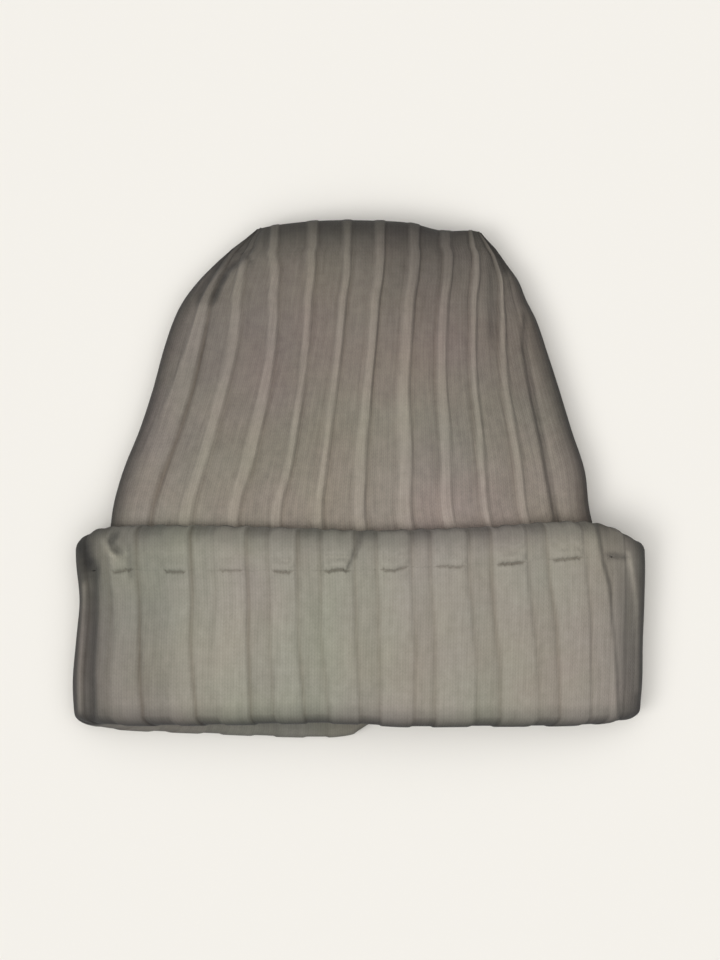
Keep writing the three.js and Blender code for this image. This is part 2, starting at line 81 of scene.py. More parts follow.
class Wire:
    """A socket in a node tree. Operators on it add Math nodes to the same tree."""

    def __init__(self, tree, socket=None):
        self.tree = tree
        self.socket = socket

    def node(self, kind, settings=None, inputs=None, output=0):
        """Adds a node of any kind, sets it up, and gives one of its outputs."""
        made = self.tree.nodes.new(kind)
        for name, value in (settings or {}).items():
            setattr(made, name, value)
        for name, value in (inputs or {}).items():
            if isinstance(value, Wire):
                self.tree.links.new(value.socket, made.inputs[name])
            else:
                made.inputs[name].default_value = value
        return Wire(self.tree, made.outputs[output])

    def math(self, operation, *values):
        return self.node("ShaderNodeMath", {"operation": operation}, dict(enumerate(values)))

    def __add__(self, other):
        return self.math("ADD", self, other)

    __radd__ = __add__

    def __sub__(self, other):
        return self.math("SUBTRACT", self, other)

    def __rsub__(self, other):
        return self.math("SUBTRACT", other, self)

    def __mul__(self, other):
        return self.math("MULTIPLY", self, other)

    __rmul__ = __mul__

    def __pow__(self, other):
        return self.math("POWER", self, other)

    def sine(self):
        return self.math("SINE", self)

    def fraction(self):
        return self.math("FRACT", self)

    def size(self):
        return self.math("ABSOLUTE", self)

    def clamp(self):
        return self.node("ShaderNodeClamp", inputs={0: self})

    def other(self, output):
        """Another output of the node that this wire comes from."""
        return Wire(self.tree, self.socket.node.outputs[output])

    def attribute(self, name):
        return self.node("ShaderNodeAttribute", {"attribute_name": name}, output="Fac")

    def mix(self, factor, first, second, kind="MIX"):
        """A colour between two colours, or their product or the like. The factor is a wire or a number."""
        settings = {"data_type": "RGBA", "blend_type": kind}
        return self.node("ShaderNodeMix", settings, {0: factor, 6: first, 7: second}, output=2)


print("one class,", len([n for n in vars(Wire) if not n.startswith("__")]), "plain methods")

# %% [markdown]
# ## Floor and light
# The floor is a plain pale sheet. The light comes from nearly straight above, as from a
# softbox beside the camera: what faces up is bright, and what turns down at an edge goes
# dark with little shadow beside it. A weak soft lamp from the left draws the right side of
# each rib. Both are even over the whole floor, so the floor stays one plain tone.

# %% Floor and light
FLOOR_COLOUR = (0.80, 0.777, 0.73, 1)
FLOOR_SIZE = 60.0
SKY_STRENGTH = 2.75
SKY_FOCUS = 4.0
LAMP_DIRECTION = (-0.56, -0.22, 0.80)
LAMP_STRENGTH = 0.85
LAMP_SPREAD = math.radians(28)


def pale_floor():
    bpy.ops.mesh.primitive_grid_add(x_subdivisions=4, y_subdivisions=4, size=FLOOR_SIZE)
    floor = bpy.context.object
    floor.name = "floor"
    material = bpy.data.materials.new("floor_sheet")
    material.use_nodes = True
    shader = material.node_tree.nodes["Principled BSDF"]
    shader.inputs["Base Color"].default_value = FLOOR_COLOUR
    shader.inputs["Roughness"].default_value = 0.9
    shader.inputs["Specular IOR Level"].default_value = 0.1
    floor.data.materials.append(material)


def overhead_sky():
    world = bpy.data.worlds.new("studio")
    bpy.context.scene.world = world
    world.use_nodes = True
    start = Wire(world.node_tree)
    direction = start.node("ShaderNodeTexCoord", output="Generated")
    upward = start.node("ShaderNodeSeparateXYZ", inputs={0: direction}, output="Z")
    strength = (upward**SKY_FOCUS).clamp() * SKY_STRENGTH
    background = world.node_tree.nodes["Background"]
    world.node_tree.links.new(strength.socket, background.inputs["Strength"])
    background.inputs["Color"].default_value = (1, 1, 1, 1)


def left_lamp():
    lamp_data = bpy.data.lights.new("lamp", "SUN")
    lamp_data.energy = LAMP_STRENGTH
    lamp_data.angle = LAMP_SPREAD
    lamp = bpy.data.objects.new("lamp", lamp_data)
    bpy.context.scene.collection.objects.link(lamp)
    lamp.rotation_euler = Vector(LAMP_DIRECTION).to_track_quat("Z", "Y").to_euler()


pale_floor()
overhead_sky()
left_lamp()
bpy.context.scene.view_settings.view_transform = "Standard"
print("floor", FLOOR_SIZE, "m, lamp", LAMP_STRENGTH, "W per square metre")

# %% [markdown]
# ## The hat's form
# Every section across the hat is a flattened oval, fuller on the lower side, where it lies.
# A short table has a row for each section: where it is, how wide and how high, and how far
# apart its ribs are. The sections are those of the solid model, so the knit lands on it with
# no fitting. The cuff's edges and the top edge are set a little closer to the picture, by a
# millimetre or so. All sizes in the tables are millimetres.

# %% Tables of the form
RIBS_AROUND = 22
RIBS_PER_SIDE = RIBS_AROUND / 4
KNIT_THICKNESS = 4.4
PIECE_GAP = 0.3
UPPER_ROUNDNESS = 2.0
LOWER_ROUNDNESS = 3.6
PARTING_SHARE = 0.36
LYING_FLATTENED = 0.8
SIDE_WALL_FACTOR = 1.6
EDGE_CROWDING = 4
WIDEST_SPREAD = 1.2
SMALLEST_HALF_WIDTH = 1.0
SMALLEST_HALF_HEIGHT = 0.6
CURVE_STEPS = 96
MIDDLE_Y = 1.4

SECTION_COLUMNS = ("y", "centre_x", "half_width", "bottom_z", "top_z", "rib_pitch", "rib_shift")
CROWN_SECTIONS = np.array([
    (-91.2, -1.1, 105.4, 4.9, 27.8, 20.4, 3.0),
    (-60.0, -0.8, 102.8, 4.9, 29.8, 19.5, 2.6),
    (-30.0, -2.0, 99.3, 4.9, 30.8, 18.5, 2.0),
    (-10.9, -3.6, 96.2, 4.2, 30.6, 17.6, 1.8),
    (5.2, -2.4, 93.2, 1.4, 30.0, 16.7, 1.6),
    (21.4, -1.8, 87.4, 0.0, 29.6, 15.7, 2.2),
    (37.5, -1.6, 82.3, 0.0, 29.4, 14.5, 3.2),
    (53.7, -2.0, 77.5, 0.0, 29.0, 13.7, 5.4),
    (65.8, -2.0, 73.4, 0.0, 28.4, 13.4, 6.6),
    (73.8, -2.0, 69.4, 0.0, 28.0, 13.4, 7.2),
    (81.9, -0.6, 64.6, 0.0, 27.4, 13.4, 7.0),
    (89.0, 0.4, 58.6, 0.0, 26.8, 13.4, 6.6),
    (94.8, 1.6, 53.4, 0.0, 26.0, 13.4, 5.6),
])
CUFF_SECTIONS = np.array([
    (-103.0, -0.8, 113.6, 0, 33.0, 22.5, 4.2),
    (-91.2, -1.2, 114.4, 0, 33.4, 22.5, 4.4),
    (-79.5, -1.0, 115.0, 0, 34.6, 22.5, 4.4),
    (-63.4, -0.2, 114.4, 0, 35.8, 22.5, 3.8),
    (-47.2, 0.8, 114.0, 0, 36.6, 22.5, 3.2),
    (-31.0, 0.2, 114.8, 0, 37.4, 22.6, 3.4),
    (-15.0, -0.2, 114.2, 0, 37.8, 22.6, 3.4),
])
EDGE_COLUMNS = ("rib", "rim_front", "rim_back", "hem_height", "fold_front", "fold_back")
CUFF_EDGES = np.array([
    (-5.5, -23.5, -23.5, 12.5, -96.6, -97.6),
    (-4.9, -18.0, -19.0, 17.0, -97.4, -100.2),
    (-3.0, -16.9, -18.0, 17.6, -96.8, -102.2),
    (-1.0, -18.0, -18.0, 16.4, -95.8, -103.6),
    (-0.3, -18.7, -18.0, 15.5, -96.0, -102.3),
    (0.1, -18.8, -18.0, 15.2, -96.5, -98.0),
    (0.7, -18.5, -18.0, 14.9, -97.2, -97.4),
    (2.0, -17.5, -17.6, 14.7, -97.2, -97.2),
    (4.3, -15.8, -17.4, 13.4, -97.2, -96.8),
    (5.5, -25.0, -25.0, 7.0, -95.6, -95.6),
])
TOP_EDGE_COLUMNS = ("x", "y")
TOP_EDGE = np.array([
    (-46.0, 101.0),
    (-41.0, 102.8),
    (-30.0, 104.6),
    (-14.0, 105.8),
    (6.0, 105.7),
    (20.0, 104.8),
    (33.0, 101.8),
    (46.0, 101.9),
    (53.0, 99.8),
])
print(len(CROWN_SECTIONS), "crown sections,", len(CUFF_SECTIONS), "cuff sections")

# %% [markdown]
# Between the rows each column runs on a smooth cubic that passes through every row, so a
# shoulder given by five rows is still one curve.

# %% Smooth tables


def interpolate(rows, names, place):
    """Every column of a table at each place along its first column, as a dictionary of arrays."""
    key = rows[:, 0]
    place = np.clip(place, key[0], key[-1])
    i = np.clip(np.searchsorted(key, place, side="left") - 1, 0, len(key) - 2)
    before, after = np.maximum(i - 1, 0), np.minimum(i + 2, len(key) - 1)
    span = key[i + 1] - key[i]
    t = (place - key[i]) / span
    values = {names[0]: place}
    for n, name in enumerate(names[1:], start=1):
        column = rows[:, n]
        slope_from = (column[i + 1] - column[before]) / (key[i + 1] - key[before]) * span
        slope_to = (column[after] - column[i]) / (key[after] - key[i]) * span
        rise = column[i + 1] - column[i]
        cubic = slope_from + slope_to - 2 * rise
        square = 3 * rise - 2 * slope_from - slope_to
        values[name] = column[i] + t * (slope_from + t * (square + t * cubic))
    return values


def smoothstep(low, high, value):
    """0 at the low end, 1 at the high end, and a smooth rise between them."""
    t = np.clip((value - low) / (high - low), 0, 1)
    return t * t * (3 - 2 * t)


def bell(distance, reach):
    """1 in the middle, and a smooth fall to both sides."""
    return np.exp(-((distance / reach) ** 2))


middle = interpolate(CROWN_SECTIONS, SECTION_COLUMNS, np.array([0.0]))
print("body half width at y = 0:", round(float(middle["half_width"][0]), 1), "mm")

# %% [markdown]
# ## Creases and dents
# The shoulder folds, the notch at the upper right and the slack folds at the sides are grooves pressed into
# the upper layer. Each runs along a few points and has a width, a depth and a darkness, the painted shade
# along it; a negative darkness paints a highlight on a ridge. A negative depth is a ridge. Where one layer
# lies over another, a step also drops the ground on one side of it and paints shade on it. Long waves make
# a crease uneven.

# %% Creases
# dark is painted shade along a crease, a painted highlight where negative; shade is painted shade on the
# lower side of a step.
CREASE_COLUMNS = ("width", "depth", "dark", "step", "shade", "waves")
CROWN_CREASES = {
    "left shoulder": (
        [(-41, 100), (-47.2, 90.8), (-53.3, 86), (-56.5, 80), (-60.5, 70)],
        (1.5, 2.4, 0.62, 1.2, 0.12, 0.12),
    ),
    "left shoulder strip": (
        [(-52, 93), (-58.5, 85.5), (-63, 79.5), (-67, 70)],
        (1.3, 1.6, 0.42, 0, 0, 0.1),
    ),
    "left shoulder ridge": ([(-54.5, 93), (-60.5, 86), (-66, 78)], (0.8, -0.6, -0.7, 0, 0, 0.1)),
    "left corner wrinkle": ([(-50, 95), (-42, 87)], (0.9, 0.9, 0.3, 0, 0, 0.2)),
    "left corner pleat": ([(-38.8, 104), (-38.4, 92)], (0.9, 0.8, 0.25, 0, 0, 0.2)),
    "top notch": ([(33.8, 107), (37.5, 97)], (1.3, 3.2, 0.5, 0, 0, 0)),
    "right top spot": ([(36, 98), (43, 96)], (1.7, 1.6, 0.45, 0, 0, 0.2)),
    "right shoulder": ([(55, 98), (59.5, 83)], (1.4, 2.4, 0.5, -1.2, 0.1, 0.2)),
    "right valley": ([(53.5, 95), (53.5, 78), (53.5, 52)], (2.4, 1.3, 0.26, 0, 0, 0)),
    "right side": (
        [(66.6, 70), (66.2, 54), (69.8, 33), (73.8, 13.3), (77.4, -8), (81, -30)],
        (1.2, 1.9, 0.36, 0, 0, 0.03),
    ),
}
CUFF_CREASES = {
    "left strip": (
        [(-106.0, -30), (-106.8, -57), (-107.8, -76), (-107.2, -99)],
        (1.6, 3.0, 0.6, 0.8, 0.08, 0.03),
    ),
    "left ridge": (
        [(-110.9, -38), (-111.8, -57), (-112.8, -75), (-112.8, -95)],
        (1.2, -0.8, -2.1, 0, 0, 0),
    ),
    "corner pit": (
        [(-117, -16), (-112.2, -24), (-109.4, -31), (-107.4, -42)],
        (3.4, 3.2, 1.1, 0, 0, 0.1),
    ),
    "corner puff": (
        [(-104.5, -15), (-102.5, -23), (-100.5, -27), (-93.5, -33)],
        (2.3, -1.3, -0.5, 0, 0, 0.1),
    ),
    "corner fold": (
        [(-95.5, -17), (-99.4, -23), (-98.4, -25.5), (-93.5, -30)],
        (1.5, 1.9, 0.6, 0, 0, 0.1),
    ),
    "corner hollow": ([(-96.0, -16), (-94.0, -30)], (3.2, 0.6, 0.28, 0, 0, 0)),
    "corner tuck": ([(-92.0, -22), (-91.6, -30), (-90.6, -40)], (1.3, 0.7, 0.3, 0, 0, 0.1)),
    "right fold": (
        [(94.4, -12), (96.6, -23), (97.8, -31), (100.7, -41), (102.1, -57), (103.5, -75), (105, -99)],
        (1.2, 2.0, 0.32, -1.4, 0.36, 0.04),
    ),
    "right tuck": ([(97.0, -28.5), (110.0, -30)], (1.4, 1.0, 0.5, 0, 0, 0.1)),
    "right ridge": (
        [(107.0, -26), (109.4, -36), (111.0, -47), (111.6, -60), (111.6, -86)],
        (1.1, -0.7, -0.8, 0, 0, 0),
    ),
    "hem diagonal": ([(1.6, -15.5), (-1.0, -25.5), (-5.2, -35.5)], (0.9, 1.1, 0.32, 0, 0, 0.1)),
}
print(len(CROWN_CREASES), "creases on the crown,", len(CUFF_CREASES), "on the cuff")

# %% Depth of the creases
STEP_REACH = 9
STEP_EDGE = 1.6
CREASE_TAPER = 3.2
CREASE_WAVES = (dict(along=0.9, start=2, size=1.0), dict(along=2.1, start=1, size=0.6))


def crease_depth(x, y, creases):
    """Depth pressed into the upper layer, and how much painted shade the creases and steps put on it, from
    0 to 1, below 0 for a painted highlight on a ridge.
    """
    depth = np.zeros_like(x)
    dark = np.zeros_like(x)
    for number, (path, sizes) in enumerate(creases.values()):
        crease = dict(zip(CREASE_COLUMNS, sizes))
        nearest = np.full_like(x, 1e9)
        side = np.zeros_like(x)
        place = np.zeros_like(x)
        walked = 0
        for (x0, y0), (x1, y1) in zip(path, path[1:]):
            length = math.hypot(x1 - x0, y1 - y0)
            ux, uy = (x1 - x0) / length, (y1 - y0) / length
            along = np.clip((x - x0) * ux + (y - y0) * uy, 0, length)
            across = (x - x0) * uy - (y - y0) * ux
            distance = np.hypot(x - x0 - along * ux, y - y0 - along * uy)
            closer = distance < nearest
            nearest = np.where(closer, distance, nearest)
            side = np.where(closer, across, side)
            place = np.where(closer, walked + along, place)
            walked += length
        taper = CREASE_TAPER * crease["width"]
        ends = smoothstep(0, taper, place) * smoothstep(0, taper, walked - place)
        waves = sum(w["size"] * np.sin(place * w["along"] + w["start"] * number) for w in CREASE_WAVES)
        groove = bell(nearest, crease["width"]) * ends * (1 + crease["waves"] * waves)
        step = smoothstep(0, STEP_EDGE * crease["width"], side * np.sign(crease["step"])) * ends
        step = step * np.exp(-((nearest / STEP_REACH) ** 4))
        depth += crease["depth"] * groove + abs(crease["step"]) * step
        # Painted shade along the crease and on the step's lower side.
        dark = 1 - (1 - dark) * (1 - crease["dark"] * groove) * (1 - crease["shade"] * step)
    return depth, dark


notch = np.array([35.0]), np.array([103.0])
notch_depth, notch_dark = crease_depth(*notch, CROWN_CREASES)
print("top notch:", round(float(notch_depth[0]), 1), "mm deep, dark", round(float(notch_dark[0]), 2))

# %% [markdown]
# ## From rib number to point
# A point of the knit is named by its rib number, counted round the hat from the middle of
# the front, and by how far it is along. Ribs keep their distance measured on the cloth, so
# the oval is walked by length: equal steps along the curve, and not equal angles.

# %% Points of the hat


def quarter_curves(half_width, half_height, roundness):
    """Quarter ovals from their middle to their side: arrays of x, rise and length walked."""
    angle = np.linspace(0, math.pi / 2, CURVE_STEPS + 1)
    power = 2 / roundness
    x = half_width[:, None] * np.sin(angle) ** power
    rise = half_height[:, None] * np.maximum(np.cos(angle), 0) ** power
    steps = np.hypot(np.diff(x, axis=1), np.diff(rise, axis=1))
    walked = np.concatenate([np.zeros((len(x), 1)), np.cumsum(steps, axis=1)], axis=1)
    return x, rise, walked


def half_points(section, number, inset, depth, upper):
    """x, z and height share of points on the upper or the lower half of the oval."""
    parting = section["bottom_z"] + PARTING_SHARE * (section["top_z"] - section["bottom_z"])
    half_width = np.maximum(section["half_width"] - SIDE_WALL_FACTOR * inset, SMALLEST_HALF_WIDTH)
    full = section["top_z"] - parting if upper else parting - section["bottom_z"] + LYING_FLATTENED
    half_height = np.maximum(full - inset, SMALLEST_HALF_HEIGHT)
    roundness = UPPER_ROUNDNESS if upper else LOWER_ROUNDNESS
    x, rise, walked = quarter_curves(half_width, half_height, roundness)
    side = walked[:, -1]
    scale = half_width / section["half_width"]
    pitch = np.minimum(section["rib_pitch"] * scale, WIDEST_SPREAD * side / RIBS_PER_SIDE)
    share = number / RIBS_PER_SIDE
    crowded = (side - RIBS_PER_SIDE * pitch) * np.sign(share) * np.abs(share) ** EDGE_CROWDING
    length = pitch * number + section["rib_shift"] * scale * (1 - share**2) + crowded
    i = np.clip((walked < np.abs(length)[:, None]).sum(1) - 1, 0, CURVE_STEPS - 1)
    row = np.arange(len(i))
    step = walked[row, i + 1] - walked[row, i]
    t = np.clip((np.abs(length) - walked[row, i]) / step, 0, 1)
    dx, dr = x[row, i + 1] - x[row, i], rise[row, i + 1] - rise[row, i]
    on_x, on_rise = x[row, i] + t * dx, rise[row, i] + t * dr
    out_x, out_rise = -dr / step, dx / step
    px = section["centre_x"] + np.sign(length) * (on_x - depth * out_x)
    height_share = on_rise / half_height
    if upper:
        return px, parting + on_rise - depth * out_rise, height_share
    lowest = np.maximum(section["bottom_z"], 0) + np.clip(inset, 0, full)
    return px, np.maximum(parting - (on_rise - depth * out_rise), lowest), height_share


def hat_points(section, rib, y, inset, depth, creases):
    """Points in millimetres, the creases' painted shade there, and their height share in the oval."""
    points = np.empty((rib.size, 3))
    painted_crease_shade = np.zeros(rib.size)
    shares = np.zeros(rib.size)
    for upper in (True, False):
        chosen = np.flatnonzero((rib <= RIBS_PER_SIDE) == upper)
        number = rib[chosen] if upper else 2 * RIBS_PER_SIDE - rib[chosen]
        some = {name: column[chosen] for name, column in section.items()}
        x, z, share = half_points(some, number, inset[chosen], depth[chosen], upper)
        shares[chosen] = share
        if upper:
            pressed, dark = crease_depth(x, y[chosen], creases)
            z = z - pressed * np.clip(2 * share, 0, 1)
            painted_crease_shade[chosen] = dark
        points[chosen] = np.stack([x, y[chosen], z], 1)
    return points, painted_crease_shade, shares


print("ribs per side:", RIBS_PER_SIDE)

# %% [markdown]
# ## Where each rib runs
# Hand-worn ribs aren't evenly spaced. Two tables, one for the crown and one for the cuff, say
# how far each rib of the front lies from its even place, in shares of the rib spacing. Each
# has a row for every few centimetres, because the ribs lean and kink on their way up.

# %% Rib places
LEFTMOST_RIB = -5


def rib_names(count):
    """The columns of a drift table: the height, then the ribs from left to right."""
    return ("y", *(f"rib {LEFTMOST_RIB + n}" for n in range(count)))


CROWN_RIB_NAMES = rib_names(11)
CROWN_DRIFT = np.array([
    (-40.0, 0.08, 0.20, 0.23, 0.20, 0.12, 0.06, 0.12, 0.12, -0.01, -0.16, 0.11),
    (-10.0, 0.08, 0.20, 0.26, 0.24, 0.14, 0.06, 0.11, 0.12, -0.02, -0.17, 0.10),
    (12.0, 0.14, 0.27, 0.34, 0.35, 0.19, 0.02, 0.14, 0.16, 0.0, -0.15, 0.08),
    (36.0, 0.26, 0.24, 0.32, 0.32, 0.18, 0.07, 0.06, 0.19, 0.12, -0.06, 0.0),
    (60.0, 0.36, 0.23, 0.24, 0.17, 0.11, 0.05, 0.08, 0.22, 0.22, 0.11, 0.08),
    (84.7, 0.28, -0.02, 0.03, 0.07, 0.12, 0.05, 0.08, 0.28, 0.25, 0.44, 0.10),
    (97.0, 0.0, -0.36, -0.33, -0.01, 0.03, 0.04, 0.17, 0.22, 0.42, 0.42, 0.0),
])
CUFF_RIB_NAMES = rib_names(10)
CUFF_DRIFT = np.array([
    (-92.0, 0.19, 0.27, 0.15, 0.10, 0.10, 0.01, 0.05, 0.23, 0.38, 0.35),
    (-75.0, 0.18, 0.15, 0.115, 0.05, 0.045, 0.006, 0.03, 0.20, 0.32, 0.33),
    (-57.0, 0.18, 0.09, 0.095, 0.01, -0.055, -0.025, -0.02, 0.10, 0.26, 0.30),
    (-41.0, 0.14, 0.09, 0.095, -0.01, -0.09, -0.05, -0.09, 0.06, 0.12, 0.25),
    (-20.0, 0.12, 0.10, 0.115, 0.01, -0.055, -0.04, -0.07, 0.03, 0.03, 0.20),
])
print("drift at", len(CROWN_DRIFT), "heights of the crown and", len(CUFF_DRIFT), "of the cuff")

# %% [markdown]
# Each rib also has its own width, its own strength of the groove on its left and on its right, deep and
# with painted shade, and its own tone, the strength of the painted highlight that makes it paler. On the
# left half of the crown the cloth rolls over to the right of each rib, and on the right half to the left.
# The ribs next to the sides are painted hardly paler than the cloth, and the crown's first rib changes on
# its way up, so it has a table of its own. On the back, which is never seen, all ribs are alike.

# %% Rib shapes
RIB_COLUMNS = ("half", "left", "right", "tone")
CROWN_RIBS = np.array([
    (0.20, 0.0, 2.2, 0.3),
    (0.11, 0.1, 1.0, 1.0),
    (0.125, 0.2, 1.1, 1.0),
    (0.105, 0.2, 1.0, 1.0),
    (0.10, 0.3, 1.0, 1.0),
    (0.115, 0.3, 1.1, 1.0),
    (0.13, 0.3, 0.8, 1.0),
    (0.135, 0.8, 0.1, 0.9),
    (0.085, 1.0, 0.1, 1.0),
    (0.085, 0.9, 0.2, 1.0),
    (0.33, 0.0, 0.0, 0.1),
])
FIRST_RIB_COLUMNS = ("y", "half", "tone")
FIRST_RIB = np.array([
    (-40, 0.28, 0.1),
    (12, 0.26, 0.1),
    (36, 0.24, 0.45),
    (60, 0.17, 0.9),
    (80, 0.13, 0.6),
])
CUFF_RIBS = np.array([
    (0.24, 0.35, 1.0, 1.0),
    (0.235, 0.0, 1.0, 1.0),
    (0.27, 0.15, 0.85, 1.0),
    (0.227, 0.4, 0.7, 1.0),
    (0.263, 0.45, 0.5, 1.0),
    (0.27, 0.5, 0.45, 1.0),
    (0.29, 0.5, 0.4, 1.0),
    (0.27, 0.65, 0.3, 1.0),
    (0.29, 0.65, 0.3, 1.0),
    (0.17, 0.0, 0.0, 1.0),
])
print("widest cuff rib:", 2 * CUFF_RIBS[:, 0].max(), "of the rib spacing")

# %% The nearest rib
BACK_LINE = 0.7
LEAN_BLEND = 0.2
RIM_FADE = dict(top=20, foot=-12, strength=0.3)


def front_rib(rib):
    """The rib number of the place on the front that a place lies on or under."""
    return np.where(rib <= RIBS_PER_SIDE, rib, 2 * RIBS_PER_SIDE - rib)


def rib_places(rib, y, style, drift_rows, names, shapes):
    """Drift, shape and groove strengths of the nearest rib, for rib numbers at one height."""
    row = interpolate(drift_rows, names, np.array([float(np.mean(y))]))
    numbers = np.arange(len(shapes)) + LEFTMOST_RIB + style["phase"]
    drifts = np.array([row[name][0] for name in names[1:]])
    front = rib <= RIBS_PER_SIDE
    known = np.concatenate([[-RIBS_PER_SIDE], numbers, [RIBS_PER_SIDE]])
    drift = np.where(front, np.interp(rib, known, np.concatenate([[0], drifts, [0]])), 0)
    nearest = np.round(rib - drift - style["phase"]).astype(int) - LEFTMOST_RIB
    found = shapes[np.clip(nearest, 0, len(shapes) - 1)]
    back = dict(half=style["half"], left=0, right=BACK_LINE, tone=1)
    places = {name: np.where(front, found[:, n], back[name]) for n, name in enumerate(RIB_COLUMNS)}
    places["drift"] = drift
    places["lean"] = smoothstep(-LEAN_BLEND, LEAN_BLEND, places["right"] - places["left"])
    places["first"] = front & (nearest <= 0)
    return places


def crown_ribs(rib, y):
    """Places and shapes of the crown's ribs. Their painted highlight grows fainter towards the cuff."""
    places = rib_places(rib, y, CROWN_RIB, CROWN_DRIFT, CROWN_RIB_NAMES, CROWN_RIBS)
    row = interpolate(FIRST_RIB, FIRST_RIB_COLUMNS, np.array([float(np.mean(y))]))
    for name in ("half", "tone"):
        places[name] = np.where(places["first"], row[name][0], places[name])
    fade = RIM_FADE["strength"] * smoothstep(RIM_FADE["top"], RIM_FADE["foot"], y)
    places["tone"] = places["tone"] * (1 - fade)
    return places


def cuff_ribs(rib, y):
    """Places and shapes of the cuff's ribs."""
    return rib_places(rib, y, CUFF_RIB, CUFF_DRIFT, CUFF_RIB_NAMES, CUFF_RIBS)


print("under rib 2 of the front lies rib", 2 * RIBS_PER_SIDE - float(front_rib(2.0)))


# %% [markdown]
# ## The ribs
# On the crown the ribs are narrow and proud, with wide flat bands between them. The cuff
# shows the other face of the same knit, so there the wide bands stand proud. The cloth rises
# gently on one side of a rib and rolls over it on the other, into a sharp groove. Single
# wales add a fine corrugation, and slow waves keep the ribs from being ruler straight.

# %% Rib relief
WALES_PER_RIB = 10
CROWN_COURSE = 1.5
CUFF_COURSE = 1.6
CROWN_RIB = dict(
    phase=0.0, half=0.10, rise=0.10, fall=0.08, band=1.0, groove=0.3,
    sharp=0.055, tail=0.14, pillow=0.3, wale=0.10,
)
CUFF_RIB = dict(
    phase=0.5, half=0.26, rise=0.06, fall=0.045, band=0.6, groove=0.55,
    sharp=0.042, tail=0.08, pillow=0.3, wale=0.07,
)
# How much of a groove's painted shade is the soft painted shadow trailing from it.
TAIL_SHARE = 0.35
RIB_WAVES = 0.012
DEPTH_WAVES = 0.25
SIDE_FADE = 0.55
WAVE_COUNT = 6
WAVES_AROUND = (2, 11)
WAVE_SPREAD = 2.5


def slow_waves(rib, y, seed, size, shortest, longest):
    """Smooth pseudo-random shift, alike along a rib and different from rib to rib."""
    rng = np.random.default_rng(seed)
    shift = np.zeros(np.broadcast(rib, y).shape)
    for _ in range(WAVE_COUNT):
        along = rng.uniform(shortest, longest)
        around = rng.integers(*WAVES_AROUND)
        start = rng.uniform(0, 2 * math.pi)
        shift = shift + np.sin(2 * math.pi * (y / along + around * rib / RIBS_AROUND) + start)
    return size * shift / WAVE_SPREAD


def rib_top(phase, half, style):
    """Proudness of a rib whose sharp side is on its right."""
    rise, fall = style["rise"], style["fall"]
    return smoothstep(-half - rise, -half + rise / 2, phase) * (1 - smoothstep(half, half + fall, phase))


def rib_groove(phase, half, style):
    """The groove on a rib's right side, and the soft shadow that trails away from it."""
    past = phase - half - style["fall"]
    core = bell(past, style["sharp"])
    tail = np.exp(-np.maximum(past, 0) / style["tail"]) * smoothstep(-style["sharp"], 0, past)
    return core, tail


def rib_relief(rib, y, style, places):
    """Depth in millimetres, paleness of the rib for its painted highlight, and groove darkness for painted
    shade.
    """
    half, lean = places["half"], places["lean"]
    moved = rib - places["drift"] + slow_waves(rib, y, 3, RIB_WAVES, 40, 140) - style["phase"]
    phase = moved - np.round(moved)
    proud = rib_top(phase, half, style) * lean + rib_top(-phase, half, style) * (1 - lean)
    right_core, right_tail = rib_groove(phase, half, style)
    left_core, left_tail = rib_groove(-phase, half, style)
    waves = 1 + slow_waves(rib, y, 7, DEPTH_WAVES, 30, 120)
    core = (places["right"] * right_core + places["left"] * left_core) * waves
    tail = places["right"] * right_tail + places["left"] * left_tail
    between = np.clip((np.abs(phase) - half) / (0.5 - half), 0, 1)
    on_top = 1 - (phase / half) ** 2
    pillow = style["pillow"] * (np.sin(math.pi * between / 2) * (1 - proud) + on_top * proud)
    wales = style["wale"] * (1 - np.cos(2 * math.pi * WALES_PER_RIB * rib))
    on_back = np.minimum(rib - RIBS_PER_SIDE, 3 * RIBS_PER_SIDE - rib)
    from_side = np.where(rib > RIBS_PER_SIDE, on_back, np.abs(RIBS_PER_SIDE - np.abs(rib)))
    keep = smoothstep(0, SIDE_FADE, from_side)
    depth = (style["band"] * (1 - proud) + style["groove"] * core) * keep - pillow + wales + style["pillow"]
    # The groove's painted shade: its sharp core and the painted shadow trailing from it.
    line = (core * (1 - TAIL_SHARE) + tail * TAIL_SHARE) * keep
    return depth, proud * places["tone"], line


one_rib = np.linspace(-0.5, 0.5, 51)
relief, _, _ = rib_relief(one_rib, 0.0, CROWN_RIB, crown_ribs(one_rib, 0.0))
print("one crown rib stands", round(float(np.ptp(relief)), 2), "mm over its groove")


# %% [markdown]
# ## Surfaces from rings
# Each piece is a stack of closed rings of points, joined by quads. A second map on the
# surface counts wales across and courses along, and the material draws its stitches by it.
# Three numbers at each point tell the material how proud the rib is, for a painted highlight on the ribs;
# how deep in a groove or crease the point lies, for painted shade there; and how much painted shade the
# point gets where the cloth turns away at an edge of the hat or lies in a shadowed place.

# %% Rings to mesh
COLUMNS_PER_RIB = 30
COLUMN_COUNT = RIBS_AROUND * COLUMNS_PER_RIB
COLUMN_RIBS = np.arange(COLUMN_COUNT) / COLUMNS_PER_RIB - RIBS_PER_SIDE + 0.5 / COLUMNS_PER_RIB
# Painted shade towards the sides of each oval, deepest at the outermost edge, and on the steep slopes of
# the finished surface.
PAINTED_SIDE_SHADE = dict(start=0.52, end=0.08, strength=0.83)
PAINTED_EDGE_SHADE = dict(start=0.20, end=0.0, strength=0.5)
PAINTED_STEEP_SHADE = dict(start=0.2, end=0.9, strength=0.5)


def columns(value):
    """A value for each column of a ring."""
    return np.broadcast_to(np.asarray(value, float), COLUMN_RIBS.shape)


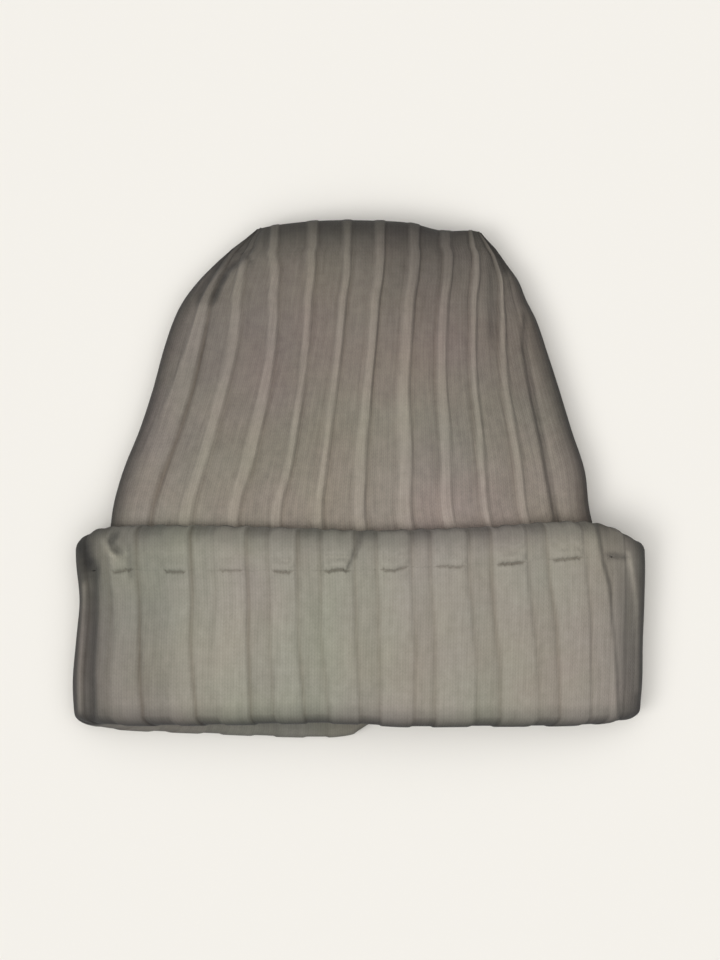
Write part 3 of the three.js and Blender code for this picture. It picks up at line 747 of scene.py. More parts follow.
class Rings:
    """Rings of a piece, gathered one by one with what the material needs at each point."""

    def __init__(self, creases):
        self.creases = creases
        self.rows = {"points": [], "course": [], "proud": [], "groove": [], "turned": []}

    def keep(self, **row):
        for name, values in row.items():
            self.rows[name].append(values)

    def add(self, section, y, inset, course, depth=0, proud=0, groove=0, turned=0):
        section = {name: columns(value) for name, value in section.items()}
        place = (section, COLUMN_RIBS, columns(y), columns(inset), columns(depth))
        points, dark, share = hat_points(*place, self.creases)
        # Painted shade near the sides of the oval, where the cloth turns from the light, joined with the
        # creases' painted shade and any painted shade passed in.
        side = 0
        for turn in (PAINTED_SIDE_SHADE, PAINTED_EDGE_SHADE):
            near_side_shade = turn["strength"] * (1 - smoothstep(turn["end"], turn["start"], share))
            side = 1 - (1 - side) * (1 - near_side_shade)
        self.keep(
            points=points,
            course=columns(course),
            proud=columns(proud),
            groove=columns(groove),
            turned=1 - (1 - side) * (1 - columns(turned)) * (1 - dark),
        )

    def reverse(self):
        for rows in self.rows.values():
            rows.reverse()

    def table(self, name):
        return np.array(self.rows[name])


print(COLUMN_COUNT, "columns and", RIBS_AROUND * WALES_PER_RIB, "wales round the hat")

# %% Mesh through the rings


def knit_map(mesh, courses, strips, fan_corners):
    """The second map: wales across, courses along."""
    wale = COLUMN_RIBS * WALES_PER_RIB
    wale_after = wale + WALES_PER_RIB / COLUMNS_PER_RIB
    across = np.broadcast_to(np.stack([wale, wale_after, wale_after, wale], -1), (strips, COLUMN_COUNT, 4))
    near = courses[:strips]
    far = courses[(np.arange(strips) + 1) % len(courses)]
    along = np.stack([near, np.roll(near, -1, 1), np.roll(far, -1, 1), far], -1)
    knit = np.stack([across, along], -1).reshape(-1, 2)
    knit = np.concatenate([knit, np.zeros((fan_corners, 2))])
    mesh.uv_layers.new(name="knit").uv.foreach_set("vector", knit.astype(np.float32).ravel())


def steepness(mesh):
    """How steep the finished surface is at each point: 0 level, 1 upright."""
    normals = np.empty(3 * len(mesh.vertices), np.float32)
    mesh.vertex_normals.foreach_get("vector", normals)
    return 1 - smoothstep(PAINTED_STEEP_SHADE["start"], PAINTED_STEEP_SHADE["end"], np.abs(normals[2::3]))


def ring_mesh(name, rings, ends_meet):
    """A piece through its rings. An open stack gets a fan of triangles at each end."""
    points = (rings.table("points") - (0, MIDDLE_Y, 0)) * MM
    count = len(points)
    strips = count if ends_meet else count - 1
    here = np.arange(strips)[:, None] * COLUMN_COUNT
    after = (np.arange(strips)[:, None] + 1) % count * COLUMN_COUNT
    j = np.arange(COLUMN_COUNT)[None, :]
    k = (j + 1) % COLUMN_COUNT
    quads = np.stack([here + j, here + k, after + k, after + j], -1).reshape(-1, 4)
    ends = np.zeros((0, 3))
    fans = np.zeros((0, 3), int)
    if not ends_meet:
        ends = np.array([points[0].mean(0), points[-1].mean(0)])
        last = (count - 1) * COLUMN_COUNT
        first_end = count * COLUMN_COUNT
        first_fan = np.stack([k[0], j[0], np.full(COLUMN_COUNT, first_end)], -1)
        last_fan = np.stack([last + j[0], last + k[0], np.full(COLUMN_COUNT, first_end + 1)], -1)
        fans = np.concatenate([first_fan, last_fan])
    mesh = bpy.data.meshes.new(name)
    all_points = np.concatenate([points.reshape(-1, 3), ends])
    mesh.from_pydata(all_points.tolist(), [], quads.tolist() + fans.tolist())
    mesh.polygons.foreach_set("use_smooth", [True] * len(mesh.polygons))
    knit_map(mesh, rings.table("course"), strips, 3 * len(fans))
    steep = steepness(mesh)
    for attribute in ("proud", "groove", "turned"):
        values = np.append(rings.table(attribute).ravel(), np.zeros(len(ends)))
        # Steep slopes get more painted shade.
        if attribute == "turned":
            values = np.clip(1 - (1 - values) * (1 - PAINTED_STEEP_SHADE["strength"] * steep), 0, 1)
        layer = mesh.attributes.new(attribute, "FLOAT", "POINT")
        layer.data.foreach_set("value", values.astype(np.float32))
    piece = bpy.data.objects.new(name, mesh)
    bpy.context.scene.collection.objects.link(piece)
    print(name, len(mesh.vertices), "points,", 2 * len(quads) + len(fans), "triangles")
    return piece


# %% [markdown]
# ## Crown and body
# The rings start inside: the inner wall from its closed end down to the mouth, then the outer wall up to
# the top edge. There the cloth rolls over the edge with its ribs running straight on, and only what reaches
# the two corners is crowded together. Behind the edge it gathers into a slot. The crown thins towards its
# top and turns from the light, and it gets painted shade there, a little more right of the middle, and a
# little at its sides lower down.

# %% Sizes of the crown
ROLL_RADIUS = 8.2
ROLL_ROWS = 14
ROLL_NARROWING = 8.0
ROLL_SHIFT = 2.0
CORNER_CROWDING = 9
RECESS_AT_EDGE = 0.3
GATHER = dict(shrink=11, narrow=18, y=99.5, rows=5, length=4)
INNER_END = dict(shrink=10.8, narrow=16, y=95.8)
INNER_ROWS = 14
INNER_TOP = 92.0
LINING = dict(sink=0.6, depth=0.5, share=0.3)
HIDDEN_ROWS = 8
OUTER_ROWS = 102
CROWN_TOP = CROWN_SECTIONS[-1, 0]
CROWN_FOOT = CROWN_SECTIONS[0, 0]
UNDER_CUFF = -28.0
# Painted shade on the crown: growing towards the top, more at the top right, a little at the sides, and a
# little less on the ribs.
CROWN_SHADE_COLUMNS = ("y", "shade")
CROWN_SHADE = np.array([
    (-20, 0.0),
    (-10, 0.01),
    (12, 0.15),
    (36, 0.26),
    (54, 0.35),
    (80, 0.43),
    (89, 0.53),
    (94, 0.66),
    (98, 0.78),
    (101.3, 0.89),
    (106, 0.94),
])
RIGHT_TOP_SHADE = dict(strength=0.36, foot=50, top=100, ribs_from=(-0.6, 1.6), ribs_to=(3.6, 2.2))
CROWN_SIDE_SHADE = dict(strength=0.07, foot=70, top=40, ribs_from=(2.8, 4.4))
RIB_BRIGHTER = 0.12
print("the top edge rolls over", ROLL_RADIUS, "mm in", ROLL_ROWS, "rows")

# %% Shade and closing of the crown


def crown_section(y):
    return interpolate(CROWN_SECTIONS, SECTION_COLUMNS, columns(y))


def crown_shade(y, proud):
    """How much painted shade darkens the crown at a height, more at the top right and lower down at the
    sides; its ribs get a little less of it.
    """
    y = columns(y)
    shade = interpolate(CROWN_SHADE, CROWN_SHADE_COLUMNS, y)["shade"] * (1 - RIB_BRIGHTER * proud)
    right_top = smoothstep(RIGHT_TOP_SHADE["foot"], RIGHT_TOP_SHADE["top"], y)
    right_top = right_top * smoothstep(*RIGHT_TOP_SHADE["ribs_from"], COLUMN_RIBS)
    right_top = right_top * smoothstep(*RIGHT_TOP_SHADE["ribs_to"], COLUMN_RIBS)
    sides = smoothstep(*CROWN_SIDE_SHADE["ribs_from"], np.abs(COLUMN_RIBS))
    sides = sides * smoothstep(CROWN_SIDE_SHADE["foot"], CROWN_SIDE_SHADE["top"], y)
    light = (1 - RIGHT_TOP_SHADE["strength"] * right_top) * (1 - CROWN_SIDE_SHADE["strength"] * sides)
    return 1 - (1 - shade) * light


def closing_section(shrink, narrow):
    """The crown's last section made smaller, for the rows that close the top."""
    end = dict(zip(SECTION_COLUMNS, CROWN_SECTIONS[-1]))
    end["half_width"] -= narrow
    end["bottom_z"] += shrink
    end["top_z"] -= shrink
    return end


def closing_ring(last, shrink, narrow, shift, y):
    """The last ring moved onto a smaller oval, its columns crowded only near the two sides."""
    end = closing_section(shrink, narrow)
    end["centre_x"] += shift
    parting = end["bottom_z"] + PARTING_SHARE * (end["top_z"] - end["bottom_z"])
    side = np.sign(last[:, 0] - end["centre_x"])
    reach = np.abs(last[:, 0] - end["centre_x"]) / end["half_width"]
    tip = (CROWN_SECTIONS[-1, 2] - side * shift) / end["half_width"]
    crowding = np.maximum(1 - tip**-CORNER_CROWDING, 0)
    share = np.clip(reach / (1 + crowding * reach**CORNER_CROWDING) ** (1 / CORNER_CROWDING), 0, 1)
    upper = COLUMN_RIBS <= RIBS_PER_SIDE
    roundness = np.where(upper, UPPER_ROUNDNESS, LOWER_ROUNDNESS)
    height = np.where(upper, end["top_z"] - parting, parting - end["bottom_z"])
    rise = height * (1 - share**roundness) ** (1 / roundness)
    x = end["centre_x"] + side * share * end["half_width"]
    z = parting + np.where(upper, rise, -rise)
    return np.stack([x, columns(y), z], 1)


print("shade at the top edge:", round(float(crown_shade(CROWN_TOP, 0).max()), 2))

# %% The crown's three stretches
PLAIN_RIBS = dict(drift=0, half=CROWN_RIB["half"], lean=0.5, left=0.5, right=0.5, tone=1)


def add_lining(rings):
    """The inner wall, from its closed end down to the mouth. Its ribs lie between the outer ones."""
    rings.add(closing_section(INNER_END["shrink"], INNER_END["narrow"]), INNER_END["y"], 0, 0)
    inset = KNIT_THICKNESS - LINING["sink"]
    for y in np.linspace(INNER_TOP, CROWN_FOOT, INNER_ROWS):
        depth, _, groove = rib_relief(COLUMN_RIBS + 0.5, y, CROWN_RIB, PLAIN_RIBS)
        depth = LINING["depth"] - LINING["share"] * (depth - CROWN_RIB["band"])
        rings.add(crown_section(y), y, inset, -y / CROWN_COURSE, depth, 0, groove)


def add_outer_wall(rings):
    """The outer wall, from the mouth up to the top edge."""
    hidden = np.linspace(CROWN_FOOT, UNDER_CUFF, HIDDEN_ROWS)[:-1]
    for y in [*hidden, *np.linspace(UNDER_CUFF, CROWN_TOP, OUTER_ROWS)]:
        depth, proud, groove = rib_relief(COLUMN_RIBS, y, CROWN_RIB, crown_ribs(COLUMN_RIBS, y))
        rings.add(crown_section(y), y, 0, y / CROWN_COURSE, depth, proud, groove, crown_shade(y, proud))


def add_rolled_end(rings):
    """The cloth rolls a quarter turn over the top edge, and gathers into the slot behind it."""
    smooth = Rings({})
    smooth.add(crown_section(CROWN_TOP), CROWN_TOP, 0, 0)
    flat = smooth.rows["points"][0]
    points, proud, line, side = (rings.rows[name][-1] for name in ("points", "proud", "groove", "turned"))
    relief = points - flat
    end_shade = crown_shade(CROWN_TOP, proud)
    edge_x = closing_ring(flat, ROLL_RADIUS, ROLL_NARROWING, ROLL_SHIFT, 0)[:, 0]
    edge = interpolate(TOP_EDGE, TOP_EDGE_COLUMNS, edge_x)["y"]
    edge = edge - RECESS_AT_EDGE * CROWN_RIB["band"] * (1 - proud)
    for i in range(1, ROLL_ROWS + GATHER["rows"] + 1):
        angle = math.pi / 2 * min(i / ROLL_ROWS, 1)
        gather = max((i - ROLL_ROWS) / GATHER["rows"], 0)
        shrink = ROLL_RADIUS * (1 - math.cos(angle)) * (1 - gather) + GATHER["shrink"] * gather
        narrow = ROLL_NARROWING * math.sin(angle) * (1 - gather) + GATHER["narrow"] * gather
        out = CROWN_TOP + (edge - CROWN_TOP) * math.sin(angle)
        y = out * (1 - gather) + GATHER["y"] * gather
        ring = closing_ring(flat, shrink, narrow, ROLL_SHIFT * math.sin(angle), y)
        course = (CROWN_TOP + ROLL_RADIUS * angle + GATHER["length"] * gather) / CROWN_COURSE
        rings.keep(
            points=ring + relief * math.cos(angle),
            course=columns(course),
            proud=proud,
            groove=line,
            # The painted shade goes on growing over the roll, as the crown's painted shade does with
            # height.
            turned=1 - (1 - side) * (1 - crown_shade(y, proud)) / (1 - end_shade),
        )


print(INNER_ROWS, "rows inside,", HIDDEN_ROWS - 1 + OUTER_ROWS, "outside")

# %% Crown


def knit_crown():
    rings = Rings(CROWN_CREASES)
    add_lining(rings)
    add_outer_wall(rings)
    add_rolled_end(rings)
    return ring_mesh("crown_knit", rings, False)


crown = knit_crown()
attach(crown, "root")
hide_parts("crown")

# %% [markdown]
# ## The cuff
# The band runs down the outside to the fold, turns under in a half circle and goes up a
# little way inside, where it meets the body. The lower edge is nearly straight, because
# the bands between the ribs draw in only slightly there.

# %% The cuff's edges
FOLD_RADIUS = KNIT_THICKNESS + PIECE_GAP / 2
INNER_LEG_TOP = -91.5
SEAM_SLIT = 0.04
RIM_WAVES = 0.22
SEAM_WAVES = 0.25
SEAM_RIPPLES = 0.28
SIDE_CALM = (0.1, 0.8)
SEWN_HEIGHT = -34
SEAM_SAG = 0.5
EDGE_WAVES = dict(shortest=50, longest=90)
PULL_SEED = 21
PULLS = (0.6, 1.1)
PULL_EDGE = (-0.1, 0.01)
PULL_LEFT = (0.6, 0.8)
PULL_RIGHT = (1.05, 1.3)
# Painted shade across the cuff, strongest at its left side.
CUFF_SHADE_COLUMNS = ("rib", "shade")
CUFF_SHADE = np.array([
    (-5.5, 0.42),
    (-4.70, 0.38),
    (-4.52, 0.24),
    (-3.55, 0.20),
    (-3.1, 0.03),
    (-0.5, 0.02),
    (1.5, 0.05),
    (5.5, 0.05),
])


def cuff_edges(rib):
    """Places of the rim, of the sewn seam under the hem and of the fold, for each rib number."""
    edges = interpolate(CUFF_EDGES, EDGE_COLUMNS, front_rib(rib))
    front = rib <= RIBS_PER_SIDE
    rim = np.where(front, edges["rim_front"], edges["rim_back"])
    fold = np.where(front, edges["fold_front"], edges["fold_back"])
    seam = rim - edges["hem_height"] + slow_waves(rib * 6, 0, 11, SEAM_WAVES, **EDGE_WAVES)
    away_from_side = smoothstep(*SIDE_CALM, RIBS_PER_SIDE - np.abs(front_rib(rib)))
    seam = seam + slow_waves(rib * 31, 0, 14, SEAM_RIPPLES, **EDGE_WAVES) * away_from_side
    rim = rim + slow_waves(rib * 7, 0, 12, RIM_WAVES, **EDGE_WAVES)
    return rim, seam, fold


def pinch_strength(rib):
    """How hard the sewing pulls at each rib: each one differently, and not at all between them."""
    rng = np.random.default_rng(PULL_SEED)
    pulls = rng.uniform(*PULLS, RIBS_AROUND + 1)
    places = cuff_ribs(rib, SEWN_HEIGHT)
    place = rib - places["drift"] - CUFF_RIB["phase"]
    nearest = np.round(place).astype(int) - LEFTMOST_RIB + 1
    offset = np.abs(place - np.round(place))
    at_rib = 1 - smoothstep(places["half"] + PULL_EDGE[0], places["half"] + PULL_EDGE[1], offset)
    from_left = smoothstep(*PULL_LEFT, RIBS_PER_SIDE + front_rib(rib))
    from_right = smoothstep(*PULL_RIGHT, RIBS_PER_SIDE - front_rib(rib))
    return pulls[nearest % len(pulls)] * at_rib * (from_left * from_right)


cuff_pull = pinch_strength(COLUMN_RIBS)
cuff_rim, cuff_seam, cuff_fold = cuff_edges(COLUMN_RIBS)
cuff_seam = cuff_seam - SEAM_SAG * cuff_pull
shade_at = dict(zip(CUFF_SHADE_COLUMNS, CUFF_SHADE.T))
cuff_shade = np.interp(COLUMN_RIBS, shade_at["rib"], shade_at["shade"])
print("rim from", round(float(cuff_rim.min()), 1), "to", round(float(cuff_rim.max()), 1), "mm")

# %% Sizes of the cuff
NEAR_SEAM = (0, 0.05, 0.25, 0.5, 0.8, 1.1, 1.5, 1.9, 2.4, 3.0, 3.6, 4.3)
# A pinch is pressed in, and its dark line is painted shade.
PINCH = dict(depth=0.8, reach=0.5, dark=0.8, dark_reach=0.42)
PUFF_BELOW = dict(rise=0.3, place=2.0, reach=1.1)
WALL_ROWS = 66
FOLD_ROWS = 18
FOLD_DRAW_IN = 0.8
FOLD_FADE = (0.5 * math.pi, 0.9 * math.pi)
# Painted shade near and round the fold, less on the ribs, and painted shadow on the back layer and the
# inner leg.
FOLD_SHADE = 0.36
FOLD_SHADE_REACH = (5.5, -0.8)
FOLD_SHADE_POWER = dict(band=0.8, more_on_ribs=0.45)
BACK_SHADE = 0.40
LEG_COURSES = (16, 20, 24)
FOOT_SLIT = 0.2
LINING_ROWS = 5
print("the fold is", round(2 * FOLD_RADIUS, 1), "mm across")

# %% The cuff's three stretches


def cuff_relief(y):
    return rib_relief(COLUMN_RIBS, y, CUFF_RIB, cuff_ribs(COLUMN_RIBS, y))


def pinched(groove, away, more=0):
    """Painted groove shade with the short painted dark line of each pinch added, at a distance from the
    seam.
    """
    return np.maximum(groove, PINCH["dark"] * cuff_pull * bell(away, PINCH["dark_reach"]) + more)


def add_wall(add, top, straight_end):
    """The outside of the band, from the seam down to where the fold starts."""
    near_end = top - NEAR_SEAM[-1]
    wall = [top - below for below in NEAR_SEAM]
    wall += [near_end + (straight_end - near_end) * share for share in np.linspace(0, 1, WALL_ROWS)[1:]]
    for y in wall:
        depth, proud, groove = cuff_relief(y)
        away = top - y
        puff = PUFF_BELOW["rise"] * bell(away - PUFF_BELOW["place"], PUFF_BELOW["reach"])
        pinch = cuff_pull * (PINCH["depth"] * bell(away, PINCH["reach"]) - puff)
        # Painted shade growing towards the fold.
        near_fold = FOLD_SHADE * smoothstep(*FOLD_SHADE_REACH, y - straight_end)
        shade = 1 - (1 - near_fold) * (1 - cuff_shade)
        course = -y / CUFF_COURSE
        add(y, 0, course, depth=depth + pinch, proud=proud, groove=pinched(groove, away), turned=shade)


def add_fold(add, straight_end):
    """The half circle at the lower edge. Its ribs fade out as it turns under, and painted shade deepens
    round it; the back layer gets painted shadow.
    """
    depth, proud, groove = cuff_relief(straight_end)
    low = CUFF_RIB["band"] * (1 - proud)
    power = FOLD_SHADE_POWER["band"] + FOLD_SHADE_POWER["more_on_ribs"] * proud
    for i in range(1, FOLD_ROWS + 1):
        angle = math.pi * i / FOLD_ROWS
        fade = 1 - float(smoothstep(*FOLD_FADE, angle))
        y = straight_end - (FOLD_RADIUS - FOLD_DRAW_IN * low * fade) * math.sin(angle)
        inset = FOLD_RADIUS * (1 - math.cos(angle))
        front_shade = FOLD_SHADE + (1 - FOLD_SHADE) * math.sin(angle) ** power
        front_shade = 1 - (1 - front_shade) * (1 - cuff_shade)
        shade = np.where(COLUMN_RIBS > RIBS_PER_SIDE, BACK_SHADE, front_shade)
        course = -(straight_end - FOLD_RADIUS * angle) / CUFF_COURSE
        across = depth * fade * max(math.cos(angle), 0)
        add(y, inset, course, depth=across, proud=proud, groove=groove * fade, turned=shade)
    return proud


def add_inside(add, top, straight_end, proud):
    """The short inner leg, the slit that the body's wall ends in, and the band's inner face."""
    leg_outer = KNIT_THICKNESS + PIECE_GAP
    slit_end = straight_end + FOOT_SLIT
    leg_top = columns(INNER_LEG_TOP)
    turn, leg_end, foot = (-(straight_end - length) / CUFF_COURSE for length in LEG_COURSES)
    # The top of the inner leg gets painted shadow.
    add(leg_top, 2 * FOLD_RADIUS, turn, proud=proud, turned=BACK_SHADE)
    add(leg_top, leg_outer, leg_end)
    add(slit_end, leg_outer, foot)
    for share in np.linspace(0, 1, LINING_ROWS):
        y = slit_end * (1 - share) + top * share
        add(y, KNIT_THICKNESS, -y / CUFF_COURSE)


print(len(NEAR_SEAM) + WALL_ROWS - 1, "rows on the band,", FOLD_ROWS, "round the fold")

# %% Cuff


def knit_cuff():
    top = cuff_seam - SEAM_SLIT / 2
    straight_end = cuff_fold + FOLD_RADIUS
    rings = Rings(CUFF_CREASES)

    def add(y, inset, course, **look):
        rings.add(interpolate(CUFF_SECTIONS, SECTION_COLUMNS, y), y, inset, course, **look)

    add_wall(add, top, straight_end)
    proud = add_fold(add, straight_end)
    add_inside(add, top, straight_end, proud)
    rings.reverse()
    return ring_mesh("cuff_knit", rings, True)


cuff = knit_cuff()
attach(cuff, "root")
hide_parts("cuff")

# %% [markdown]
# ## The hem
# The cuff's edge is turned in and sewn down, so it is doubled. It lies flush with the cuff below it. Only
# where the sewing catches a proud rib is there a short pinched crease, with a small puff of slack cloth
# above it and a soft wrinkle on the way up to the rim. The crease and the wrinkle's valley get painted
# shade, the puff and the wrinkle's ridge a painted highlight, and the hem gets painted shade towards its
# rim.

# %% Section of the hem
HEM_THICKNESS = 4.4
HEM_OUTER_ROUND = 4.2
HEM_INNER_ROUND = 2.2
HEM_NOMINAL = 15.5
HEM_NEAR_SEAM = (0, 0.05, 0.25, 0.5, 0.8, 1.15, 1.6, 2.1, 2.7, 3.3, 4.0)
HEM_FACE_ROWS = 16
HEM_ROUND_ROWS = 12
HEM_FOOT_SPREAD = 1
HEM_INSIDE_ROWS = 5
HEM_OUTSIDE = (0.8, 2.2)
PUFF_ABOVE = dict(rise=0.8, place=2.4, reach=1.4)
# The puff above each pinch and the wrinkle's ridge get a painted highlight, the wrinkle's valley painted
# shade.
PUFF_HIGHLIGHT = dict(strength=0.8, place=2.6, reach=1.3)
WRINKLE = dict(place=6.6, waves=0.9, valley=-1.3, valley_reach=0.8, ridge=0.6, ridge_reach=0.9)
WRINKLE_RELIEF = dict(valley=0.3, ridge=0.4, dark=0.1, pale=0.6)
# Painted shade on the hem towards its rim, more between the ribs, and a thin painted dark line at the rim.
RIM_SHADE = dict(strength=0.45, reach=(11.5, 0.5))
RIM_RECESS_SHADE = dict(strength=0.15, reach=(5.5, 2.0))
RIM_LINE_SHADE = dict(strength=0.1, reach=(2.2, 0.6))


def hem_section():
    """Inset and height of the rows round the hem's section, at its nominal height."""
    half = HEM_THICKNESS / 2
    round_start = HEM_NOMINAL - HEM_OUTER_ROUND
    rows = [(half + HEM_FOOT_SPREAD, 0), (half - HEM_FOOT_SPREAD, 0)]
    rows += [(0, height) for height in HEM_NEAR_SEAM]
    rows += [(0, height) for height in np.linspace(HEM_NEAR_SEAM[-1], round_start, HEM_FACE_ROWS)[1:]]
    for angle in np.linspace(0, math.pi / 2, HEM_ROUND_ROWS)[1:]:
        rows.append((half * (1 - math.cos(angle)), round_start + HEM_OUTER_ROUND * math.sin(angle)))
    for angle in np.linspace(0, math.pi / 2, HEM_ROUND_ROWS // 2)[1:]:
        height = HEM_NOMINAL - HEM_INNER_ROUND * (1 - math.cos(angle))
        rows.append((half * (1 + math.sin(angle)), height))
    inside = np.linspace(HEM_NOMINAL - HEM_INNER_ROUND, 0, HEM_INSIDE_ROWS)[1:]
    rows += [(HEM_THICKNESS, height) for height in inside]
    return rows


print(len(hem_section()), "rows round the hem's section")

# %% Hem


def rim_shade(below_rim, proud):
    """Painted shade on the hem towards the rim, where it turns away, most of all between the ribs."""
    shade = RIM_SHADE["strength"] * smoothstep(*RIM_SHADE["reach"], below_rim)
    shade = shade + RIM_RECESS_SHADE["strength"] * (1 - proud) * smoothstep(*RIM_RECESS_SHADE["reach"], below_rim)
    return shade + RIM_LINE_SHADE["strength"] * smoothstep(*RIM_LINE_SHADE["reach"], below_rim)


def knit_hem():
    base = cuff_seam + SEAM_SLIT / 2
    wrinkle_place = WRINKLE["place"] + slow_waves(COLUMN_RIBS * 7, 0, 31, WRINKLE["waves"], **EDGE_WAVES)
    rings = Rings(CUFF_CREASES)
    for inset, height in hem_section():
        y = base + (cuff_rim - base) * (height / HEM_NOMINAL)
        depth, proud, groove = cuff_relief(y)
        outer = 1 - float(smoothstep(*HEM_OUTSIDE, inset))
        above = y - base
        puff = PUFF_ABOVE["rise"] * bell(above - PUFF_ABOVE["place"], PUFF_ABOVE["reach"])
        pinch = cuff_pull * (PINCH["depth"] * bell(above, PINCH["reach"]) - puff)
        up = above - wrinkle_place
        valley = cuff_pull * bell(up - WRINKLE["valley"], WRINKLE["valley_reach"])
        ridge = cuff_pull * bell(up - WRINKLE["ridge"], WRINKLE["ridge_reach"])
        wrinkle = WRINKLE_RELIEF["valley"] * valley - WRINKLE_RELIEF["ridge"] * ridge
        # Painted shade in the pinch and in the wrinkle's valley.
        tuck = pinched(groove, above, WRINKLE_RELIEF["dark"] * valley)
        shade = 1 - (1 - rim_shade(cuff_rim - y, proud)) * (1 - cuff_shade)
        # Painted highlight on the puff and on the wrinkle's ridge, added to the rib's paleness.
        pale = PUFF_HIGHLIGHT["strength"] * bell(above - PUFF_HIGHLIGHT["place"], PUFF_HIGHLIGHT["reach"])
        proud = proud + WRINKLE_RELIEF["pale"] * ridge + cuff_pull * pale
        relief = (depth + pinch + wrinkle) * outer
        section = interpolate(CUFF_SECTIONS, SECTION_COLUMNS, y)
        rings.add(section, y, inset, -y / CUFF_COURSE, relief, proud, tuck * outer, shade)
    return ring_mesh("cuff_hem_knit", rings, True)


hem = knit_hem()
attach(hem, "root")
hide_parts("cuff_hem")

# %% [markdown]
# ## The knit
# A knitted face is rows of V-shaped stitches. Across a wale the two legs of the V lean away from its
# middle, so the course number is shifted by the distance from that middle, and the stitch is highest along
# each leg. From where the picture is taken the stitches melt into faint upright streaks, because each wale
# keeps its yarn's shade for a while. The yarn is heathered: pale and dark fibres carded together. Grooves,
# creases, turned edges and the gaps between the stitches get painted shade, and proud ribs a painted
# highlight.

# %% Yarn and stitches
LEG_SLANT = 0.75
LEG_SHARPNESS = 0.6
RIDGE_SHARE = 0.7
STREAK_STRETCH = (1.0, 0.07, 1.0)
STREAK_SCALE = 1.1
FIBRE_SCALE = 1500
HEATHER_SCALE = 300
CLOUD_SCALE = 24
TINT_SCALE = 16
TINT_AMOUNT = 0.15
# Painted shade: grooves darken towards the first tone, and turned edges, creases and shadowed places
# towards the second.
GROOVE_SHADE_TONE = (0.62, 0.58, 0.54, 1)
PAINTED_SHADE_TONE = (0.12, 0.124, 0.138, 1)
LIGHT_SHARES = dict(stitch=0.16, ridge=0.08, streak=0.55, heather=0.5, fibre=0.3, cloud=0.45)
RIDGE_MEAN = 0.6
HEIGHT_SHARES = dict(stitch=0.75, fibre=0.35, heather=0.25)
YARN_HEIGHT = 0.4 * MM
ROUGHNESS = (0.86, 0.1)


def knit_height(start):
    """How high the yarn stands, from 0 to 1, from the map of wales and courses."""
    knit = start.node("ShaderNodeUVMap", {"uv_map": "knit"})
    wale = start.node("ShaderNodeSeparateXYZ", inputs={0: knit})
    course = wale.other("Y")
    leg = (wale.fraction() - 0.5).size() * 2
    along = (course + leg * LEG_SLANT).fraction()
    ridge = (leg * math.pi).sine()
    stitch = ((along * math.pi).sine() ** LEG_SHARPNESS) * ((1 - RIDGE_SHARE) + ridge * RIDGE_SHARE)
    return stitch, ridge, knit


print("a stitch stands", round(YARN_HEIGHT / MM * HEIGHT_SHARES["stitch"], 2), "mm high")

# %% Knit material


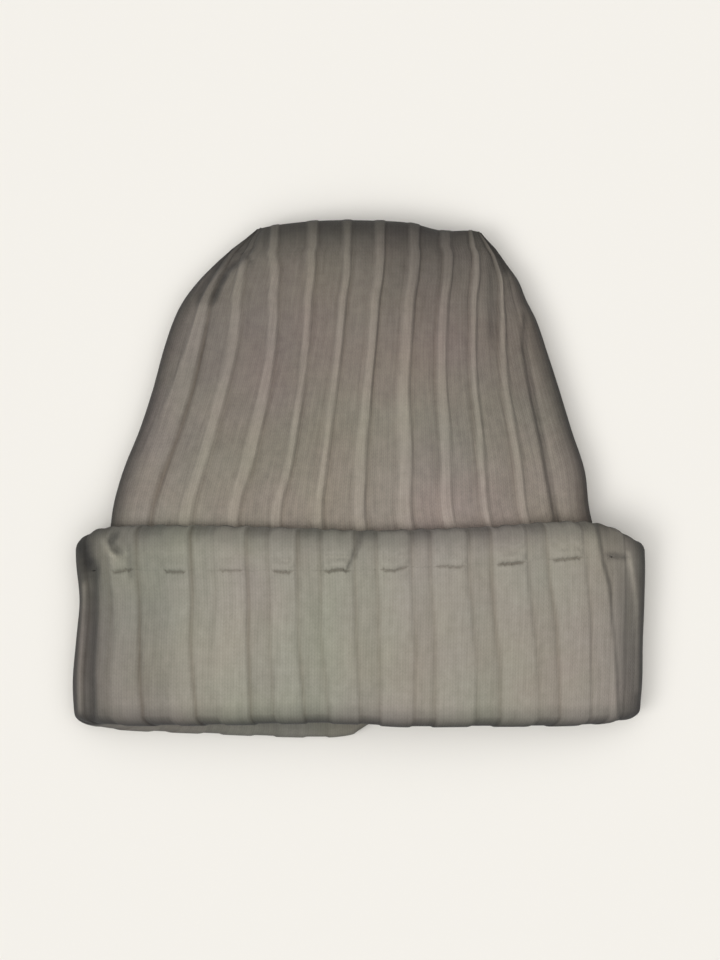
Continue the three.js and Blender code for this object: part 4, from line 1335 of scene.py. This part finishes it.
def knit_material(name, pale, dark, relief, rib_tone, groove_shade):
    """The knit of one face: the tones of its yarn, and how strongly the painted highlight on ribs and the
    painted shade in grooves show.
    """
    material = bpy.data.materials.new(name)
    material.use_nodes = True
    tree = material.node_tree
    shader = tree.nodes["Principled BSDF"]
    start = Wire(tree)
    place = start.node("ShaderNodeTexCoord", output="Object")
    stitch, ridge, knit = knit_height(start)
    stretch = start.node("ShaderNodeVectorMath", {"operation": "MULTIPLY"}, {0: knit, 1: STREAK_STRETCH})
    streak = start.node(
        "ShaderNodeTexNoise", inputs={"Vector": stretch, "Scale": STREAK_SCALE, "Detail": 2.0}
    )
    noise = {"Vector": place, "Detail": 3.0}
    fibre = start.node("ShaderNodeTexNoise", inputs={**noise, "Scale": FIBRE_SCALE})
    heather = start.node("ShaderNodeTexNoise", inputs={**noise, "Scale": HEATHER_SCALE})
    cloud = start.node("ShaderNodeTexNoise", inputs={**noise, "Scale": CLOUD_SCALE})
    tint = start.node("ShaderNodeTexNoise", inputs={**noise, "Scale": TINT_SCALE}, output="Color")
    proud = start.attribute("proud")
    groove = start.attribute("groove")
    turned = start.attribute("turned")
    # The gaps between the stitches and beside the legs' ridges are painted darker: painted shade. The
    # noises below are the yarn's own tone.
    light = 0.5 + (stitch - 0.5) * LIGHT_SHARES["stitch"] + (ridge - RIDGE_MEAN) * LIGHT_SHARES["ridge"]
    for name_of, noise_of in (("streak", streak), ("heather", heather), ("fibre", fibre), ("cloud", cloud)):
        light = light + (noise_of - 0.5) * LIGHT_SHARES[name_of]
    # Proud ribs are painted paler: a painted highlight.
    light = light + (proud - 0.5) * rib_tone
    colour = start.mix(light.clamp(), dark, pale)
    colour = start.mix(TINT_AMOUNT, colour, tint, "SOFT_LIGHT")
    # Grooves get painted shade.
    colour = start.mix((groove * groove_shade).clamp(), colour, GROOVE_SHADE_TONE, "MULTIPLY")
    # Painted shade at the edges, steep slopes, creases, the top, the rim and the fold.
    colour = start.mix(turned, colour, PAINTED_SHADE_TONE, "MULTIPLY")
    height = stitch * HEIGHT_SHARES["stitch"] + fibre * HEIGHT_SHARES["fibre"]
    height = height + heather * HEIGHT_SHARES["heather"]
    bump = height.node(
        "ShaderNodeBump", inputs={"Height": height, "Strength": relief, "Distance": YARN_HEIGHT}
    )
    rough = ROUGHNESS[0] + fibre * ROUGHNESS[1]
    tree.links.new(colour.socket, shader.inputs["Base Color"])
    tree.links.new(rough.socket, shader.inputs["Roughness"])
    tree.links.new(bump.socket, shader.inputs["Normal"])
    shader.inputs["Specular IOR Level"].default_value = 0.2
    shader.inputs["Sheen Weight"].default_value = 0.08
    shader.inputs["Sheen Roughness"].default_value = 0.6
    print(name, len(tree.nodes), "nodes")
    return material


crown_knit = knit_material(
    "crown_knit", pale=(0.385, 0.34, 0.281, 1), dark=(0.185, 0.16, 0.133, 1),
    relief=0.4, rib_tone=0.36, groove_shade=0.36,
)
cuff_knit = knit_material(
    "cuff_knit", pale=(0.355, 0.332, 0.28, 1), dark=(0.20, 0.187, 0.152, 1),
    relief=0.35, rib_tone=0.12, groove_shade=0.75,
)
crown.data.materials.append(crown_knit)
cuff.data.materials.append(cuff_knit)
hem.data.materials.append(cuff_knit)

# %% [markdown]
# The visible knit has to stay within the solid model's box, apart from a little fuzz.
